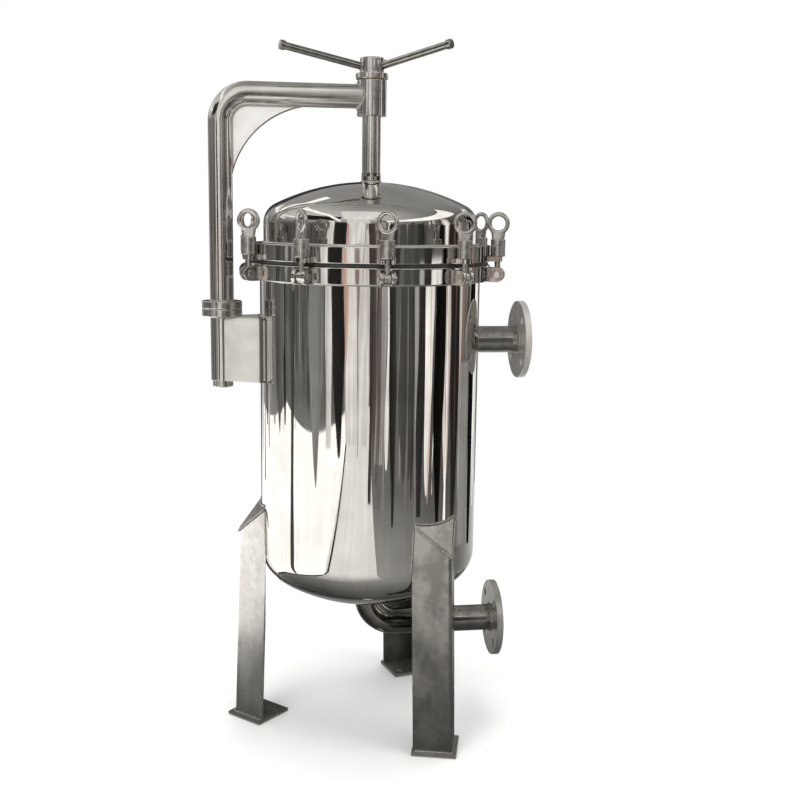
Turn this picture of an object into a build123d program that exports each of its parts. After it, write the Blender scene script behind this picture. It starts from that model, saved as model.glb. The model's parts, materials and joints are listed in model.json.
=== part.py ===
from build123d import *
from math import asin, atan, cos, degrees, radians, sin, sqrt
import os

# Bag filter housing: a stainless vessel on three legs, closed by a domed lid that ten
# swing eyebolts hold down, with a davit that lifts the lid. Millimetres, +Z up. The
# origin is on the vessel's axis at the floor, and +X points along both nozzles.

# ---- driving dimensions ----
# vessel
shell_od = 460.0
shell_wall = 5.0
head_bend_z = 380.0              # where the bottom head starts to curve
joint_z = 990.0                  # top face of the body flange
bottom_crown_share = 0.8         # crown radius over diameter, deep dished head
bottom_knuckle_share = 0.154
bottom_skirt = 25.0              # the head's own straight edge, below the shell
# flanged closure
flange_width = 20.0              # out from the shell
flange_thickness = 33.0
flange_chamfer = 2.0
gasket_thickness = 7.0
gasket_inset = 4.0               # in from the flanges' rims
gasket_bore_gap = 1.0            # out from the shell's bore
lid_inset = 8.0                  # the lid's skirt, in from the shell's surface
lid_wall = 5.0
lid_skirt_above_flange = 40.0
lid_crown_share = 1.0            # crown radius over diameter, shallow dished head
lid_knuckle_share = 0.1
# swing bolts
bolt_count = 10
first_bolt_azimuth = 18.0
nut_to_flange = 1.5
pin_below_joint = 19.0
pin_d = 10.0
pin_head_d = 14.0
pin_head_thickness = 3.0
lug_thickness = 8.0
lug_gap = 14.0
lug_round_r = 15.0
eye_r = 11.0
eye_side_gap = 0.3
pin_clearance = 0.1              # radial, eyebolt on its pin
shank_d = 12.0
ear_thickness = 10.0
ear_above_lid_face = 1.0
ear_width = 32.0
ear_reach = 9.0                  # past the bolt's axis
ear_corner_r = 5.0
ear_slot_gap = 0.5               # each side of the shank
nut_d = 30.0
nut_height = 35.0
nut_chamfer = 1.5
nut_eye_od = 46.0
nut_eye_id = 28.0
nut_eye_rise = 32.0              # nut's top to the eye's centre
nut_neck_thickness = 10.0
nut_neck_foot_w = 25.0
nut_neck_head_w = 30.0
thread_clearance = 0.1           # radial
thread_end_gap = 1.0
# azimuths that the ring nuts' eyes face, as they happened to be left
eye_azimuths = (35, 100, 20, 75, 140, 80, 20, 55, 85, 75)
# nozzles
pipe_od = 57.0
pipe_wall = 3.0
nozzle_flange_od = 165.0
nozzle_flange_thickness = 14.0
nozzle_bolt_pcd = 125.0
nozzle_bolt_hole_d = 18.0
nozzle_bolt_count = 4
nozzle_weld_setback = 4.0
inlet_below_joint = 162.0
inlet_reach = 103.0              # from the shell to the sealing face
outlet_below_head = 62.0
outlet_reach = 60.0
elbow_r = 60.0
# legs
leg_azimuths = {"left": 180.0, "front": 300.0, "rear": 60.0}
leg_width = 80.0
leg_thickness = 6.0
leg_run_out = 12.5               # the heel's, from the head's bend down to the floor
leg_bend_r = 7.0
leg_heel_above_bend = 36.0
leg_top_slope = 48.0             # degrees
leg_cap_thickness = 5.0
foot_size = 92.0
foot_thickness = 8.0
foot_heel_inset = 52.0           # the foot's centre, in from the heel
anchor_inset = 40.0              # the anchor hole, in from the foot's centre
anchor_hole_d = 14.0
# davit
davit_stand_off = 78.0           # from the shell to the post's axis
davit_pipe_od = 48.3
davit_pipe_wall = 3.0
arm_above_boss_foot = 39.0
davit_bend_r = 57.0
collar_od = 82.0
collar_thickness = 16.0
collar_below_joint = 96.0        # the face that the davit turns on
collar_chamfer = 2.0
spindle_clearance = 0.1          # radial, in the socket
spindle_inset = 30.0             # up into the davit's post
spindle_below_socket = 14.0
socket_length = 149.0
bracket_wall = 5.0
bracket_width_at_shell = 110.0
bracket_width_at_socket = 44.0
bracket_edge_r = 8.0
gusset_thickness = 8.0
gusset_on_post = 160.0           # its tip, below the arm's axis
gusset_on_arm = 166.0            # its tip, from the post's axis
gusset_edge_r = 182.0
# lid lift
boss_od = 60.0
boss_above_lid = 132.0
boss_length = 71.0
rod_d = 38.0
rod_clearance = 0.1              # radial, in the boss
screw_d = 24.0
screw_above_boss_foot = 42.0
washer_thickness = 2.0
hub_od = 49.0
hub_height = 31.0
hub_flange_od = 66.0
hub_flange_thickness = 12.0
hub_chamfer = 2.0
screw_below_hub_top = 2.0
handle_azimuths = (194.7, 314.7, 74.7)
handle_d = 15.0
handle_reach = 196.0             # tip's distance from the screw's axis
handle_rise = 10.2               # degrees
handle_root_above_flange = 9.0
handle_cap_d = 19.0
handle_cap_length = 12.0
shoe_od = 40.0
shoe_height = 17.0
shoe_floor = 2.5
head_d = 30.0
head_height = 8.0
neck_d = 18.0
slot_clearance = 0.5
# filter insert
tube_sheet_below_inlet = 46.0
tube_sheet_thickness = 10.0
bag_count = 3
rim_to_shell = 12.0
basket_od = 172.0
basket_wall = 1.5
basket_rim_od = 196.0
basket_rim_thickness = 4.0
basket_depth = 430.0
basket_hole_gap = 1.0
window_columns = 8
window_rows = 4
window_width = 30.0
window_bridge = 22.0
bag_gap = 2.5                    # inside the basket
bag_cloth = 2.0
bag_collar_height = 5.0
bag_collar_width = 14.0
hold_down_thickness = 6.0
hold_down_bar = 26.0
hold_down_post_d = 16.0
hold_down_post_height = 60.0
hold_down_knob_d = 34.0
hold_down_knob_thickness = 14.0


def dish_height(diameter, crown_share, knuckle_share):
    """Height of a dished head's outer surface above its knuckle's start."""
    crown, knuckle = diameter * crown_share, diameter * knuckle_share
    return crown - sqrt((crown - knuckle) ** 2 - (diameter / 2 - knuckle) ** 2)


# ---- values that follow ----
shell_r = shell_od / 2
shell_bore_r = shell_r - shell_wall
shell_bottom_z = head_bend_z + bottom_skirt
flange_od = shell_od + 2 * flange_width
lid_od = shell_od - 2 * lid_inset
gasket_od = flange_od - 2 * gasket_inset
gasket_id = 2 * (shell_bore_r + gasket_bore_gap)
bolt_circle_r = flange_od / 2 + nut_to_flange + nut_d / 2
inlet_z = joint_z - inlet_below_joint
inlet_face_x = shell_r + inlet_reach
outlet_face_x = shell_r + outlet_reach
leg_edge_depth = leg_width / sqrt(2)
leg_splay = degrees(atan(leg_run_out / head_bend_z))
leg_heel_r = sqrt(shell_r ** 2 - leg_edge_depth ** 2) + leg_edge_depth + leg_run_out
leg_heel_top_z = head_bend_z + leg_heel_above_bend
foot_centre_r = leg_heel_r - foot_heel_inset
anchor_r = foot_centre_r - anchor_inset
davit_r = shell_r + davit_stand_off
collar_z = joint_z - collar_below_joint
socket_bottom_z = collar_z - socket_length
body_flange_bottom = joint_z - flange_thickness
lid_face_z = joint_z + gasket_thickness
lid_flange_top = lid_face_z + flange_thickness
lid_skirt_top = lid_flange_top + lid_skirt_above_flange
bolt_azimuths = [first_bolt_azimuth + 360 / bolt_count * k for k in range(bolt_count)]
pin_z = joint_z - pin_below_joint
ear_top_z = lid_face_z + ear_above_lid_face + ear_thickness
nut_top_z = ear_top_z + nut_height
nut_eye_z = nut_top_z + nut_eye_rise
shank_top_z = nut_top_z - thread_end_gap
head_apex_z = head_bend_z - dish_height(shell_od, bottom_crown_share, bottom_knuckle_share)
outlet_z = head_apex_z - outlet_below_head
lid_apex_z = lid_skirt_top + dish_height(lid_od, lid_crown_share, lid_knuckle_share)
shoe_top_z = lid_apex_z + shoe_height
head_top_z = lid_apex_z + shoe_floor + slot_clearance + head_height
boss_bottom_z = lid_apex_z + boss_above_lid
boss_top_z = boss_bottom_z + boss_length
arm_z = boss_bottom_z + arm_above_boss_foot
screw_start_z = boss_bottom_z + screw_above_boss_foot
post_bore_r = davit_pipe_od / 2 - davit_pipe_wall
spindle_r = post_bore_r - spindle_clearance
tube_sheet_top_z = inlet_z - tube_sheet_below_inlet
basket_bottom_z = tube_sheet_top_z - basket_depth
bag_pcd = 2 * shell_bore_r - basket_rim_od - 2 * rim_to_shell
hub_bottom_z = boss_top_z + washer_thickness
hub_top_z = hub_bottom_z + hub_flange_thickness + hub_height
basket_rim_top = tube_sheet_top_z + basket_rim_thickness
bag_top_z = basket_rim_top + bag_collar_height

ON_BASE = (Align.CENTER, Align.CENTER, Align.MIN)


# ---- shapes used more than once ----
def disc(radius, bottom, top):
    """An upright cylinder about the axis between two heights."""
    return Pos(0, 0, bottom) * Cylinder(radius, top - bottom, align=ON_BASE)


def ring(outer_r, inner_r, bottom, top):
    """An upright ring between two heights."""
    return disc(outer_r, bottom, top) - disc(inner_r, bottom, top)


def crosswise(radius, length, x, z):
    """A cylinder along Y, centred on the XZ plane."""
    return Pos(x, 0, z) * Rot(90, 0, 0) * Cylinder(radius, length)


def lengthwise(radius, start_x, end_x, z):
    """A cylinder along X between two distances from the axis."""
    return Pos(start_x, 0, z) * Rot(0, 90, 0) * Cylinder(radius, end_x - start_x, align=ON_BASE)


def softened(solid, size, edges):
    """The solid with a small chamfer on the edges chosen."""
    return chamfer(edges(solid), size)


def outer_rims(solid):
    """The two largest round edges of a ring or disc."""
    return solid.edges().filter_by(GeomType.CIRCLE).sort_by(lambda e: e.radius)[-2:]


def at_azimuth(azimuth, item):
    """A piece made on the +X side, turned about the vessel's axis."""
    return Rot(0, 0, azimuth) * item


def group(items):
    """Separate identical pieces that share one node."""
    return Compound(children=[solid for item in items for solid in item.solids()])


def dish(diameter, wall, crown_share, knuckle_share, skirt):
    """A dished head, dome up: straight skirt, knuckle arc and crown arc, of one wall."""
    crown, knuckle = diameter * crown_share, diameter * knuckle_share
    height = dish_height(diameter, crown_share, knuckle_share)
    knuckle_x = diameter / 2 - knuckle
    lean = degrees(asin(knuckle_x / (crown - knuckle)))
    turn = 90 - lean

    def half(inset):
        rise = CenterArc((knuckle_x, 0), knuckle - inset, 0, turn)
        cap = CenterArc((0, height - crown), crown - inset, turn, lean)
        return [Line((diameter / 2 - inset, -skirt), (diameter / 2 - inset, 0)), rise, cap]

    foot = Line((diameter / 2, -skirt), (diameter / 2 - wall, -skirt))
    middle = Line((0, height), (0, height - wall))
    section = make_face(half(0) + half(wall) + [foot, middle])
    return revolve(Plane.XZ * section, Axis.Z)


def plate_flange(face_x, z):
    """A flat plate flange whose sealing face looks along +X."""
    body = lengthwise(nozzle_flange_od / 2, face_x - nozzle_flange_thickness, face_x, z)
    body -= lengthwise(pipe_od / 2, face_x - nozzle_flange_thickness, face_x, z)
    for k in range(nozzle_bolt_count):
        angle = radians(360 / nozzle_bolt_count * (k + 0.5))
        offset = Pos(0, nozzle_bolt_pcd / 2 * cos(angle), nozzle_bolt_pcd / 2 * sin(angle))
        hole = lengthwise(nozzle_bolt_hole_d / 2, face_x - nozzle_flange_thickness, face_x, z)
        body -= offset * hole
    return body


# ---- vessel ----
def make_shell():
    """Straight shell, with the inlet's hole."""
    tube = ring(shell_r, shell_bore_r, shell_bottom_z, joint_z)
    return tube - lengthwise(pipe_od / 2, 0, shell_od, inlet_z)


def make_bottom_head():
    """Deep dished head, dome down, bored for the outlet's elbow."""
    head = dish(shell_od, shell_wall, bottom_crown_share, bottom_knuckle_share, bottom_skirt)
    placed = Pos(0, 0, head_bend_z) * Rot(180, 0, 0) * head
    return placed - disc(pipe_od / 2, head_apex_z - shell_wall, head_bend_z)


def make_body_flange():
    """Ring welded round the shell's top."""
    body = ring(flange_od / 2, shell_r, body_flange_bottom, joint_z)
    return softened(body, flange_chamfer, outer_rims)


def make_gasket():
    """Flat ring between the two flanges."""
    return ring(gasket_od / 2, gasket_id / 2, joint_z, lid_face_z)


def one_lug_pair():
    """Two plates with a round end about the pin, trimmed to the flange."""
    height = 2 * lug_round_r
    length = bolt_circle_r - flange_od / 2 + lug_round_r
    plate = crosswise(lug_round_r, lug_thickness, bolt_circle_r, pin_z)
    plate += Pos(bolt_circle_r - length / 2, 0, pin_z) * Box(length, lug_thickness, height)
    plate -= disc(flange_od / 2, body_flange_bottom - height, joint_z + height)
    plate -= crosswise(pin_d / 2, lug_thickness, bolt_circle_r, pin_z)
    side = (lug_gap + lug_thickness) / 2
    return group([Pos(0, side, 0) * plate, Pos(0, -side, 0) * plate])


def one_hinge_pin():
    """Pin through both lugs, with a head at each end."""
    grip = lug_gap + 2 * lug_thickness
    pin = crosswise(pin_d / 2, grip, bolt_circle_r, pin_z)
    head = crosswise(pin_head_d / 2, pin_head_thickness, bolt_circle_r, pin_z)
    side = (grip + pin_head_thickness) / 2
    return pin + Pos(0, side, 0) * head + Pos(0, -side, 0) * head


def make_inlet_pipe():
    """Straight pipe from the shell's bore to its flange."""
    end = inlet_face_x - nozzle_weld_setback
    pipe = lengthwise(pipe_od / 2, 0, end, inlet_z)
    pipe -= lengthwise(pipe_od / 2 - pipe_wall, 0, end, inlet_z)
    return pipe - disc(shell_bore_r, inlet_z - pipe_od, inlet_z + pipe_od)


def make_outlet_elbow():
    """Pipe down from the bottom head, through a bend, along to its flange."""
    top = (0, 0, head_apex_z + shell_wall)
    end = (outlet_face_x - nozzle_weld_setback, 0, outlet_z)
    path = FilletPolyline(top, (0, 0, outlet_z), end, radius=elbow_r)
    section = Circle(pipe_od / 2) - Circle(pipe_od / 2 - pipe_wall)
    return sweep(Plane(origin=path @ 0, z_dir=path % 0) * section, path=path)


# ---- legs ----
def leg_frame():
    """Where a leg's heel stands on the floor, leaning in by its splay."""
    return Pos(leg_heel_r, 0, 0) * Rot(0, -leg_splay, 0)


def leg_top_plane(lift=0.0):
    """The sloping cut on a leg's top, rising towards the shell."""
    heel_x = leg_heel_r - leg_heel_top_z * sin(radians(leg_splay))
    slope = radians(leg_top_slope)
    normal = Vector(sin(slope), 0, cos(slope))
    return Plane(origin=Vector(heel_x, 0, leg_heel_top_z) + normal * lift, z_dir=normal)


def trimmed_to_shell(item):
    """A leg's piece with its edges cut to the shell's curve."""
    return item - disc(shell_r, 0, joint_z)


def one_leg():
    """Folded angle, heel outwards, its edges against the shell."""
    width, wall = leg_width, leg_thickness
    corners = [(0, 0), (width, 0), (width, wall), (wall, wall), (wall, width), (0, width)]
    section = make_face(Polyline(*corners, close=True))
    heel, root = section.vertices().sort_by(lambda v: v.X + v.Y)[:2]
    section = fillet(heel, leg_bend_r)
    root = section.vertices().sort_by_distance((wall, wall))[0]
    section = fillet(root, leg_bend_r - wall)
    angle = leg_frame() * Rot(0, 0, 135) * extrude(section, joint_z / 2 + leg_width)
    angle = split(angle, Plane.XY.offset(foot_thickness), keep=Keep.TOP)
    angle = split(angle, leg_top_plane(), keep=Keep.BOTTOM)
    return trimmed_to_shell(angle)


def one_leg_cap():
    """Sloping plate that closes the leg's top."""
    outline = make_face(Polyline((0, 0), (leg_width, 0), (0, leg_width), close=True))
    prism = leg_frame() * Rot(0, 0, 135) * extrude(outline, joint_z / 2 + leg_width)
    prism = split(prism, leg_top_plane(), keep=Keep.TOP)
    prism = split(prism, leg_top_plane(leg_cap_thickness), keep=Keep.BOTTOM)
    return trimmed_to_shell(prism)


def one_foot():
    """Square plate, a corner outwards, with its anchor hole inside the leg."""
    plate = Pos(foot_centre_r, 0, 0) * Rot(0, 0, 45) * Box(
        foot_size, foot_size, foot_thickness, align=ON_BASE
    )
    return plate - Pos(anchor_r, 0, 0) * disc(anchor_hole_d / 2, 0, foot_thickness)


# ---- davit's seat, on the vessel ----
def on_post(item):
    """A piece made about the origin's axis, moved to the davit's post."""
    return Pos(-davit_r, 0, 0) * item


def make_davit_socket():
    """Tube that the davit's spindle turns in."""
    return on_post(ring(davit_pipe_od / 2, post_bore_r, socket_bottom_z, collar_z))


def make_socket_collar():
    """Ring on the socket's top that carries the davit's collar."""
    body = ring(collar_od / 2, davit_pipe_od / 2, collar_z - collar_thickness, collar_z)
    return on_post(softened(body, collar_chamfer, outer_rims))


def make_davit_bracket():
    """Hollow box, wide at the shell and narrow at the socket."""

    def prism(inset):
        wide = bracket_width_at_shell / 2 - inset
        narrow = bracket_width_at_socket / 2 - inset
        corners = [(0, -wide), (-shell_r, -wide), (-davit_r, -narrow)]
        corners += [(x, -y) for x, y in reversed(corners)]
        outline = make_face(Polyline(*corners, close=True))
        height = collar_z - collar_thickness - socket_bottom_z - 2 * inset
        return Pos(0, 0, socket_bottom_z + inset) * extrude(outline, height)

    box = prism(0)
    sides = box.faces().sort_by(Axis.Z)[-1].edges().filter_by(
        lambda e: abs(e.tangent_at(0.5).X) > abs(e.tangent_at(0.5).Y)
    )
    box = fillet(sides.filter_by(lambda e: e.center().X < -shell_r), bracket_edge_r)
    box -= prism(bracket_wall)
    box -= disc(shell_r, 0, joint_z)
    return box - on_post(disc(davit_pipe_od / 2, 0, joint_z))


# ---- davit ----
def arm_end_x():
    """Where the arm's axis stops, just inside the boss's wall."""
    return -(boss_od / 2 - davit_pipe_wall)


def davit_path():
    """The post's axis up, round the bend and along the arm."""
    foot, corner = (-davit_r, 0, collar_z), (-davit_r, 0, arm_z)
    return FilletPolyline(foot, corner, (arm_end_x(), 0, arm_z), radius=davit_bend_r)


def swept_post(radius):
    """A round bar along the davit's path."""
    path = davit_path()
    return sweep(Plane(origin=path @ 0, z_dir=path % 0) * Circle(radius), path=path)


def make_davit_pipe():
    """Bent pipe, its arm cut to the boss's curve."""
    pipe = swept_post(davit_pipe_od / 2) - swept_post(post_bore_r)
    return pipe - disc(boss_od / 2, boss_bottom_z, boss_top_z)


def make_davit_collar():
    """Ring at the post's foot that rests on the socket's collar."""
    body = ring(collar_od / 2, davit_pipe_od / 2, collar_z, collar_z + collar_thickness)
    return on_post(softened(body, collar_chamfer, outer_rims))


def make_davit_spindle():
    """Round bar down from the post through the socket."""
    bottom = socket_bottom_z - spindle_below_socket
    lower = disc(spindle_r, bottom, collar_z)
    upper = disc(post_bore_r, collar_z, collar_z + spindle_inset)
    return on_post(lower + upper)


def make_davit_gusset():
    """Plate in the davit's bend. Its hollow edge runs from the post's surface to the arm's."""
    low = (-davit_r + davit_pipe_od / 2, arm_z - gusset_on_post)
    high = (-davit_r + gusset_on_arm, arm_z - davit_pipe_od / 2)
    edge = RadiusArc(high, low, -gusset_edge_r)
    back = Polyline(low, (-davit_r, low[1]), (-davit_r, arm_z), (high[0], arm_z), high)
    outline = make_face([edge, back])
    plate = extrude(Plane.XZ * outline, gusset_thickness / 2, both=True)
    pieces = (plate - swept_post(davit_pipe_od / 2)).solids()
    return pieces.sort_by(lambda s: s.volume)[-1]


def make_arm_boss():
    """Sleeve at the arm's end that guides the lift rod."""
    body = ring(boss_od / 2, rod_d / 2 + rod_clearance, boss_bottom_z, boss_top_z)
    return softened(body, hub_chamfer / 2, outer_rims)


def make_thrust_washer():
    """Bronze washer that the handle's hub turns on."""
    return ring(boss_od / 2 - hub_chamfer, screw_d / 2 + slot_clearance, boss_top_z, hub_bottom_z)


# ---- handle ----
def make_handle_hub():
    """Round nut with a foot flange, on the screw."""
    step = hub_bottom_z + hub_flange_thickness
    body = softened(disc(hub_flange_od / 2, hub_bottom_z, step), hub_chamfer, outer_rims)
    body += softened(disc(hub_od / 2, step, hub_top_z), hub_chamfer, lambda s: outer_rims(s)[-1:])
    return body - disc(screw_d / 2 + thread_clearance, hub_bottom_z, hub_top_z)


def handle_frame(azimuth):
    """The line of one handle rod, out of the hub and rising."""
    root_z = hub_bottom_z + hub_flange_thickness + handle_root_above_flange
    return Rot(0, 0, azimuth) * Pos(0, 0, root_z) * Rot(0, 90 - handle_rise, 0)


def rod_length():
    """Along the rod's slope, from the screw's axis to its tip."""
    return handle_reach / cos(radians(handle_rise))


def one_handle_rod(azimuth):
    """Round rod from the hub's wall to its cap."""
    rod = Cylinder(handle_d / 2, rod_length() - handle_cap_length, align=ON_BASE)
    return handle_frame(azimuth) * rod - disc(hub_od / 2, hub_bottom_z, hub_top_z)


def one_handle_cap(azimuth):
    """Turned cap on a handle rod's end."""
    cap = softened(disc(handle_cap_d / 2, 0, handle_cap_length), hub_chamfer, outer_rims)
    return handle_frame(azimuth) * Pos(0, 0, rod_length() - handle_cap_length) * cap


# ---- lift rod, with its T-head in the lid's shoe ----
def make_lift_rod():
    """T-head, neck, polished rod and the screw that the hub turns on."""
    rod = disc(head_d / 2, head_top_z - head_height, head_top_z)
    rod += disc(neck_d / 2, head_top_z, shoe_top_z + slot_clearance)
    rod += disc(rod_d / 2, shoe_top_z + slot_clearance, screw_start_z)
    return rod + disc(screw_d / 2, screw_start_z, hub_top_z - screw_below_hub_top)


# ---- lid ----
def lid_dish():
    """The lid's shallow dished head where it stands."""
    skirt = lid_skirt_top - lid_face_z
    head = dish(lid_od, lid_wall, lid_crown_share, lid_knuckle_share, skirt)
    return Pos(0, 0, lid_skirt_top) * head


def make_lid_flange():
    """Ring welded round the lid's skirt."""
    body = ring(flange_od / 2, lid_od / 2, lid_face_z, lid_flange_top)
    return softened(body, flange_chamfer, outer_rims)


def one_lid_ear():
    """Fork that a ring nut bears on. Its top is flat up to the bolt's axis, then falls along
    an arc about the pin, so that the nut clears it as the bolt swings out."""
    inner = sqrt((flange_od / 2) ** 2 - (ear_width / 2) ** 2) - ear_thickness
    outer = bolt_circle_r + ear_reach
    fork = Pos((inner + outer) / 2, 0, ear_top_z - ear_thickness) * Box(
        outer - inner, ear_width, ear_thickness, align=ON_BASE
    )
    fork = fillet(fork.edges().filter_by(Axis.Z).sort_by(Axis.X)[-2:], ear_corner_r)
    seat_r = ear_top_z - pin_z
    crown = crosswise(seat_r, ear_width, bolt_circle_r, pin_z)
    blank = Pos(bolt_circle_r, 0, pin_z) * Box(
        2 * seat_r, ear_width, 2 * seat_r, align=(Align.MIN, Align.CENTER, Align.CENTER)
    )
    fork -= blank - crown
    slot_r = shank_d / 2 + ear_slot_gap
    fork -= Pos(bolt_circle_r, 0, 0) * disc(slot_r, lid_face_z, lid_flange_top)
    fork -= Pos(bolt_circle_r, 0, ear_top_z) * Box(
        2 * ear_width, 2 * slot_r, 3 * ear_thickness, align=(Align.MIN, Align.CENTER, Align.CENTER)
    )
    return fork - disc(flange_od / 2, lid_face_z, lid_flange_top)


def make_lid_shoe():
    """Round shoe on the crown. Its T-slot is struck about the davit's post, so that the rod's
    head lifts the lid, and leaves the slot sideways as the davit swings."""
    shoe = disc(shoe_od / 2, lid_apex_z - lid_wall, shoe_top_z)
    shoe -= Pos(0, 0, lid_apex_z - lid_od) * Sphere(lid_od * lid_crown_share)
    reach_head = head_d / 2 + slot_clearance
    reach_neck = neck_d / 2 + slot_clearance
    floor = lid_apex_z + shoe_floor
    shoulder = head_top_z + slot_clearance
    corners = [(-reach_head, floor), (-reach_head, shoulder), (-reach_neck, shoulder)]
    corners += [(-reach_neck, shoe_top_z)]
    corners += [(-x, z) for x, z in reversed(corners)]
    section = Plane.XZ * make_face(Polyline(*corners, close=True))
    sweep_angle = 4 * degrees(asin(shoe_od / 2 / davit_r))
    post = Axis((-davit_r, 0, 0), (0, 0, 1))
    slot = revolve(section, post, sweep_angle)
    return shoe - Pos(-davit_r, 0, 0) * Rot(0, 0, -sweep_angle / 2) * Pos(davit_r, 0, 0) * slot


# ---- swing bolt and its ring nut ----
def one_eyebolt():
    """Round eye on the pin, with a plain shank up through the ear."""
    width = lug_gap - 2 * eye_side_gap
    bolt = crosswise(eye_r, width, bolt_circle_r, pin_z)
    bolt += Pos(bolt_circle_r, 0, 0) * disc(shank_d / 2, pin_z, shank_top_z)
    return bolt - crosswise(pin_d / 2 + pin_clearance, width, bolt_circle_r, pin_z)


def one_ring_nut(eye_turn):
    """Round nut, tapered neck and a ring to put a bar through."""
    body = softened(disc(nut_d / 2, ear_top_z, nut_top_z), nut_chamfer, outer_rims)
    ring_wall = (nut_eye_od - nut_eye_id) / 2
    eye = Pos(0, 0, nut_eye_z) * Rot(90, 0, 0) * Torus((nut_eye_od - ring_wall) / 2, ring_wall / 2)
    foot, head = nut_neck_foot_w / 2, nut_neck_head_w / 2
    corners = [(-foot, nut_top_z), (foot, nut_top_z), (head, nut_eye_z), (-head, nut_eye_z)]
    neck = extrude(
        Plane.XZ * make_face(Polyline(*corners, close=True)), nut_neck_thickness / 2, both=True
    )
    neck -= crosswise((nut_eye_od - ring_wall) / 2, 2 * nut_neck_thickness, 0, nut_eye_z)
    nut = body + neck + eye
    nut -= disc(shank_d / 2 + thread_clearance, ear_top_z, nut_top_z)
    return Pos(bolt_circle_r, 0, 0) * Rot(0, 0, eye_turn) * nut


# ---- filter insert ----
def over_each_bag(item):
    """A piece made about the axis, repeated at every bag."""
    return [at_azimuth(360 / bag_count * k, Pos(bag_pcd / 2, 0, 0) * item) for k in range(bag_count)]


def make_tube_sheet():
    """Plate across the shell, with a hole for each basket."""
    plate = disc(shell_bore_r, tube_sheet_top_z - tube_sheet_thickness, tube_sheet_top_z)
    hole_r = basket_od / 2 + basket_hole_gap
    for hole in over_each_bag(disc(hole_r, tube_sheet_top_z - tube_sheet_thickness, tube_sheet_top_z)):
        plate -= hole
    return plate


def one_basket():
    """Rim, slotted tube and closed bottom."""
    basket = ring(basket_od / 2, basket_od / 2 - basket_wall, basket_bottom_z, basket_rim_top)
    basket += disc(basket_od / 2, basket_bottom_z, basket_bottom_z + basket_wall)
    basket += ring(basket_rim_od / 2, basket_od / 2 - basket_wall, tube_sheet_top_z, basket_rim_top)
    clear_height = tube_sheet_top_z - tube_sheet_thickness - basket_bottom_z
    pitch = (clear_height - window_bridge) / window_rows
    for row in range(window_rows):
        middle = basket_bottom_z + window_bridge + pitch * row + (pitch - window_bridge) / 2
        for column in range(window_columns // 2):
            turn = 360 / window_columns * column
            window = Box(2 * basket_od, window_width, pitch - window_bridge)
            basket -= Rot(0, 0, turn) * Pos(0, 0, middle) * window
    return basket


def one_filter_bag():
    """Cloth bag with a round bottom and a moulded collar on the basket's rim."""
    outer = basket_od / 2 - basket_wall - bag_gap
    bottom = basket_bottom_z + basket_wall + bag_gap

    def cup(radius, low):
        body = disc(radius, low, bag_top_z)
        return fillet(body.edges().filter_by(GeomType.CIRCLE).sort_by(Axis.Z)[0], radius / 2)

    bag = cup(outer, bottom) - cup(outer - bag_cloth, bottom + bag_cloth)
    collar_bore = outer - bag_cloth
    return bag + ring(collar_bore + bag_collar_width, collar_bore, basket_rim_top, bag_top_z)


def make_hold_down():
    """Spider that keeps the bags' collars down, with a knob to lift it by."""
    collar_r = basket_od / 2 - basket_wall - bag_gap - bag_cloth
    top = bag_top_z + hold_down_thickness
    frame = disc(hold_down_bar, bag_top_z, top)
    frame += over_each_bag(ring(collar_r + bag_collar_width, collar_r, bag_top_z, top))
    reach = bag_pcd / 2 - collar_r
    bar = Pos(0, 0, bag_top_z) * Box(
        reach, hold_down_bar, hold_down_thickness, align=(Align.MIN, Align.CENTER, Align.MIN)
    )
    frame += [at_azimuth(360 / bag_count * k, bar) for k in range(bag_count)]
    frame += disc(hold_down_post_d / 2, top, top + hold_down_post_height)
    knob = disc(hold_down_knob_d / 2, 0, hold_down_knob_thickness)
    return frame + Pos(0, 0, top + hold_down_post_height) * knob


# ---- every node ----
nodes = {
    "shell": make_shell(),
    "bottom_head": make_bottom_head(),
    "body_flange": make_body_flange(),
    "gasket": make_gasket(),
    "flange_lugs": group([at_azimuth(a, one_lug_pair()) for a in bolt_azimuths]),
    "hinge_pins": group([at_azimuth(a, one_hinge_pin()) for a in bolt_azimuths]),
    "inlet_pipe": make_inlet_pipe(),
    "inlet_flange": plate_flange(inlet_face_x, inlet_z),
    "outlet_elbow": make_outlet_elbow(),
    "outlet_flange": plate_flange(outlet_face_x, outlet_z),
    "davit_bracket": make_davit_bracket(),
    "davit_socket": make_davit_socket(),
    "socket_collar": make_socket_collar(),
    "tube_sheet": make_tube_sheet(),
    "bag_baskets": group(over_each_bag(one_basket())),
    "filter_bags": group(over_each_bag(one_filter_bag())),
    "hold_down": make_hold_down(),
    "davit_pipe": make_davit_pipe(),
    "davit_collar": make_davit_collar(),
    "davit_spindle": make_davit_spindle(),
    "davit_gusset": make_davit_gusset(),
    "arm_boss": make_arm_boss(),
    "thrust_washer": make_thrust_washer(),
    "handle_hub": make_handle_hub(),
    "handle_rods": group([one_handle_rod(a) for a in handle_azimuths]),
    "handle_caps": group([one_handle_cap(a) for a in handle_azimuths]),
    "lift_rod": make_lift_rod(),
    "lid_head": lid_dish(),
    "lid_flange": make_lid_flange(),
    "lid_ears": group([at_azimuth(a, one_lid_ear()) for a in bolt_azimuths]),
    "lid_shoe": make_lid_shoe(),
}
for side, azimuth in leg_azimuths.items():
    nodes[f"leg_{side}"] = at_azimuth(azimuth, one_leg())
    nodes[f"leg_cap_{side}"] = at_azimuth(azimuth, one_leg_cap())
    nodes[f"foot_{side}"] = at_azimuth(azimuth, one_foot())
for number, (azimuth, eye_azimuth) in enumerate(zip(bolt_azimuths, eye_azimuths), 1):
    nodes[f"eyebolt_{number:02d}"] = at_azimuth(azimuth, one_eyebolt())
    eye_turn = eye_azimuth - azimuth - 90
    nodes[f"ring_nut_{number:02d}"] = at_azimuth(azimuth, one_ring_nut(eye_turn))

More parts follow.
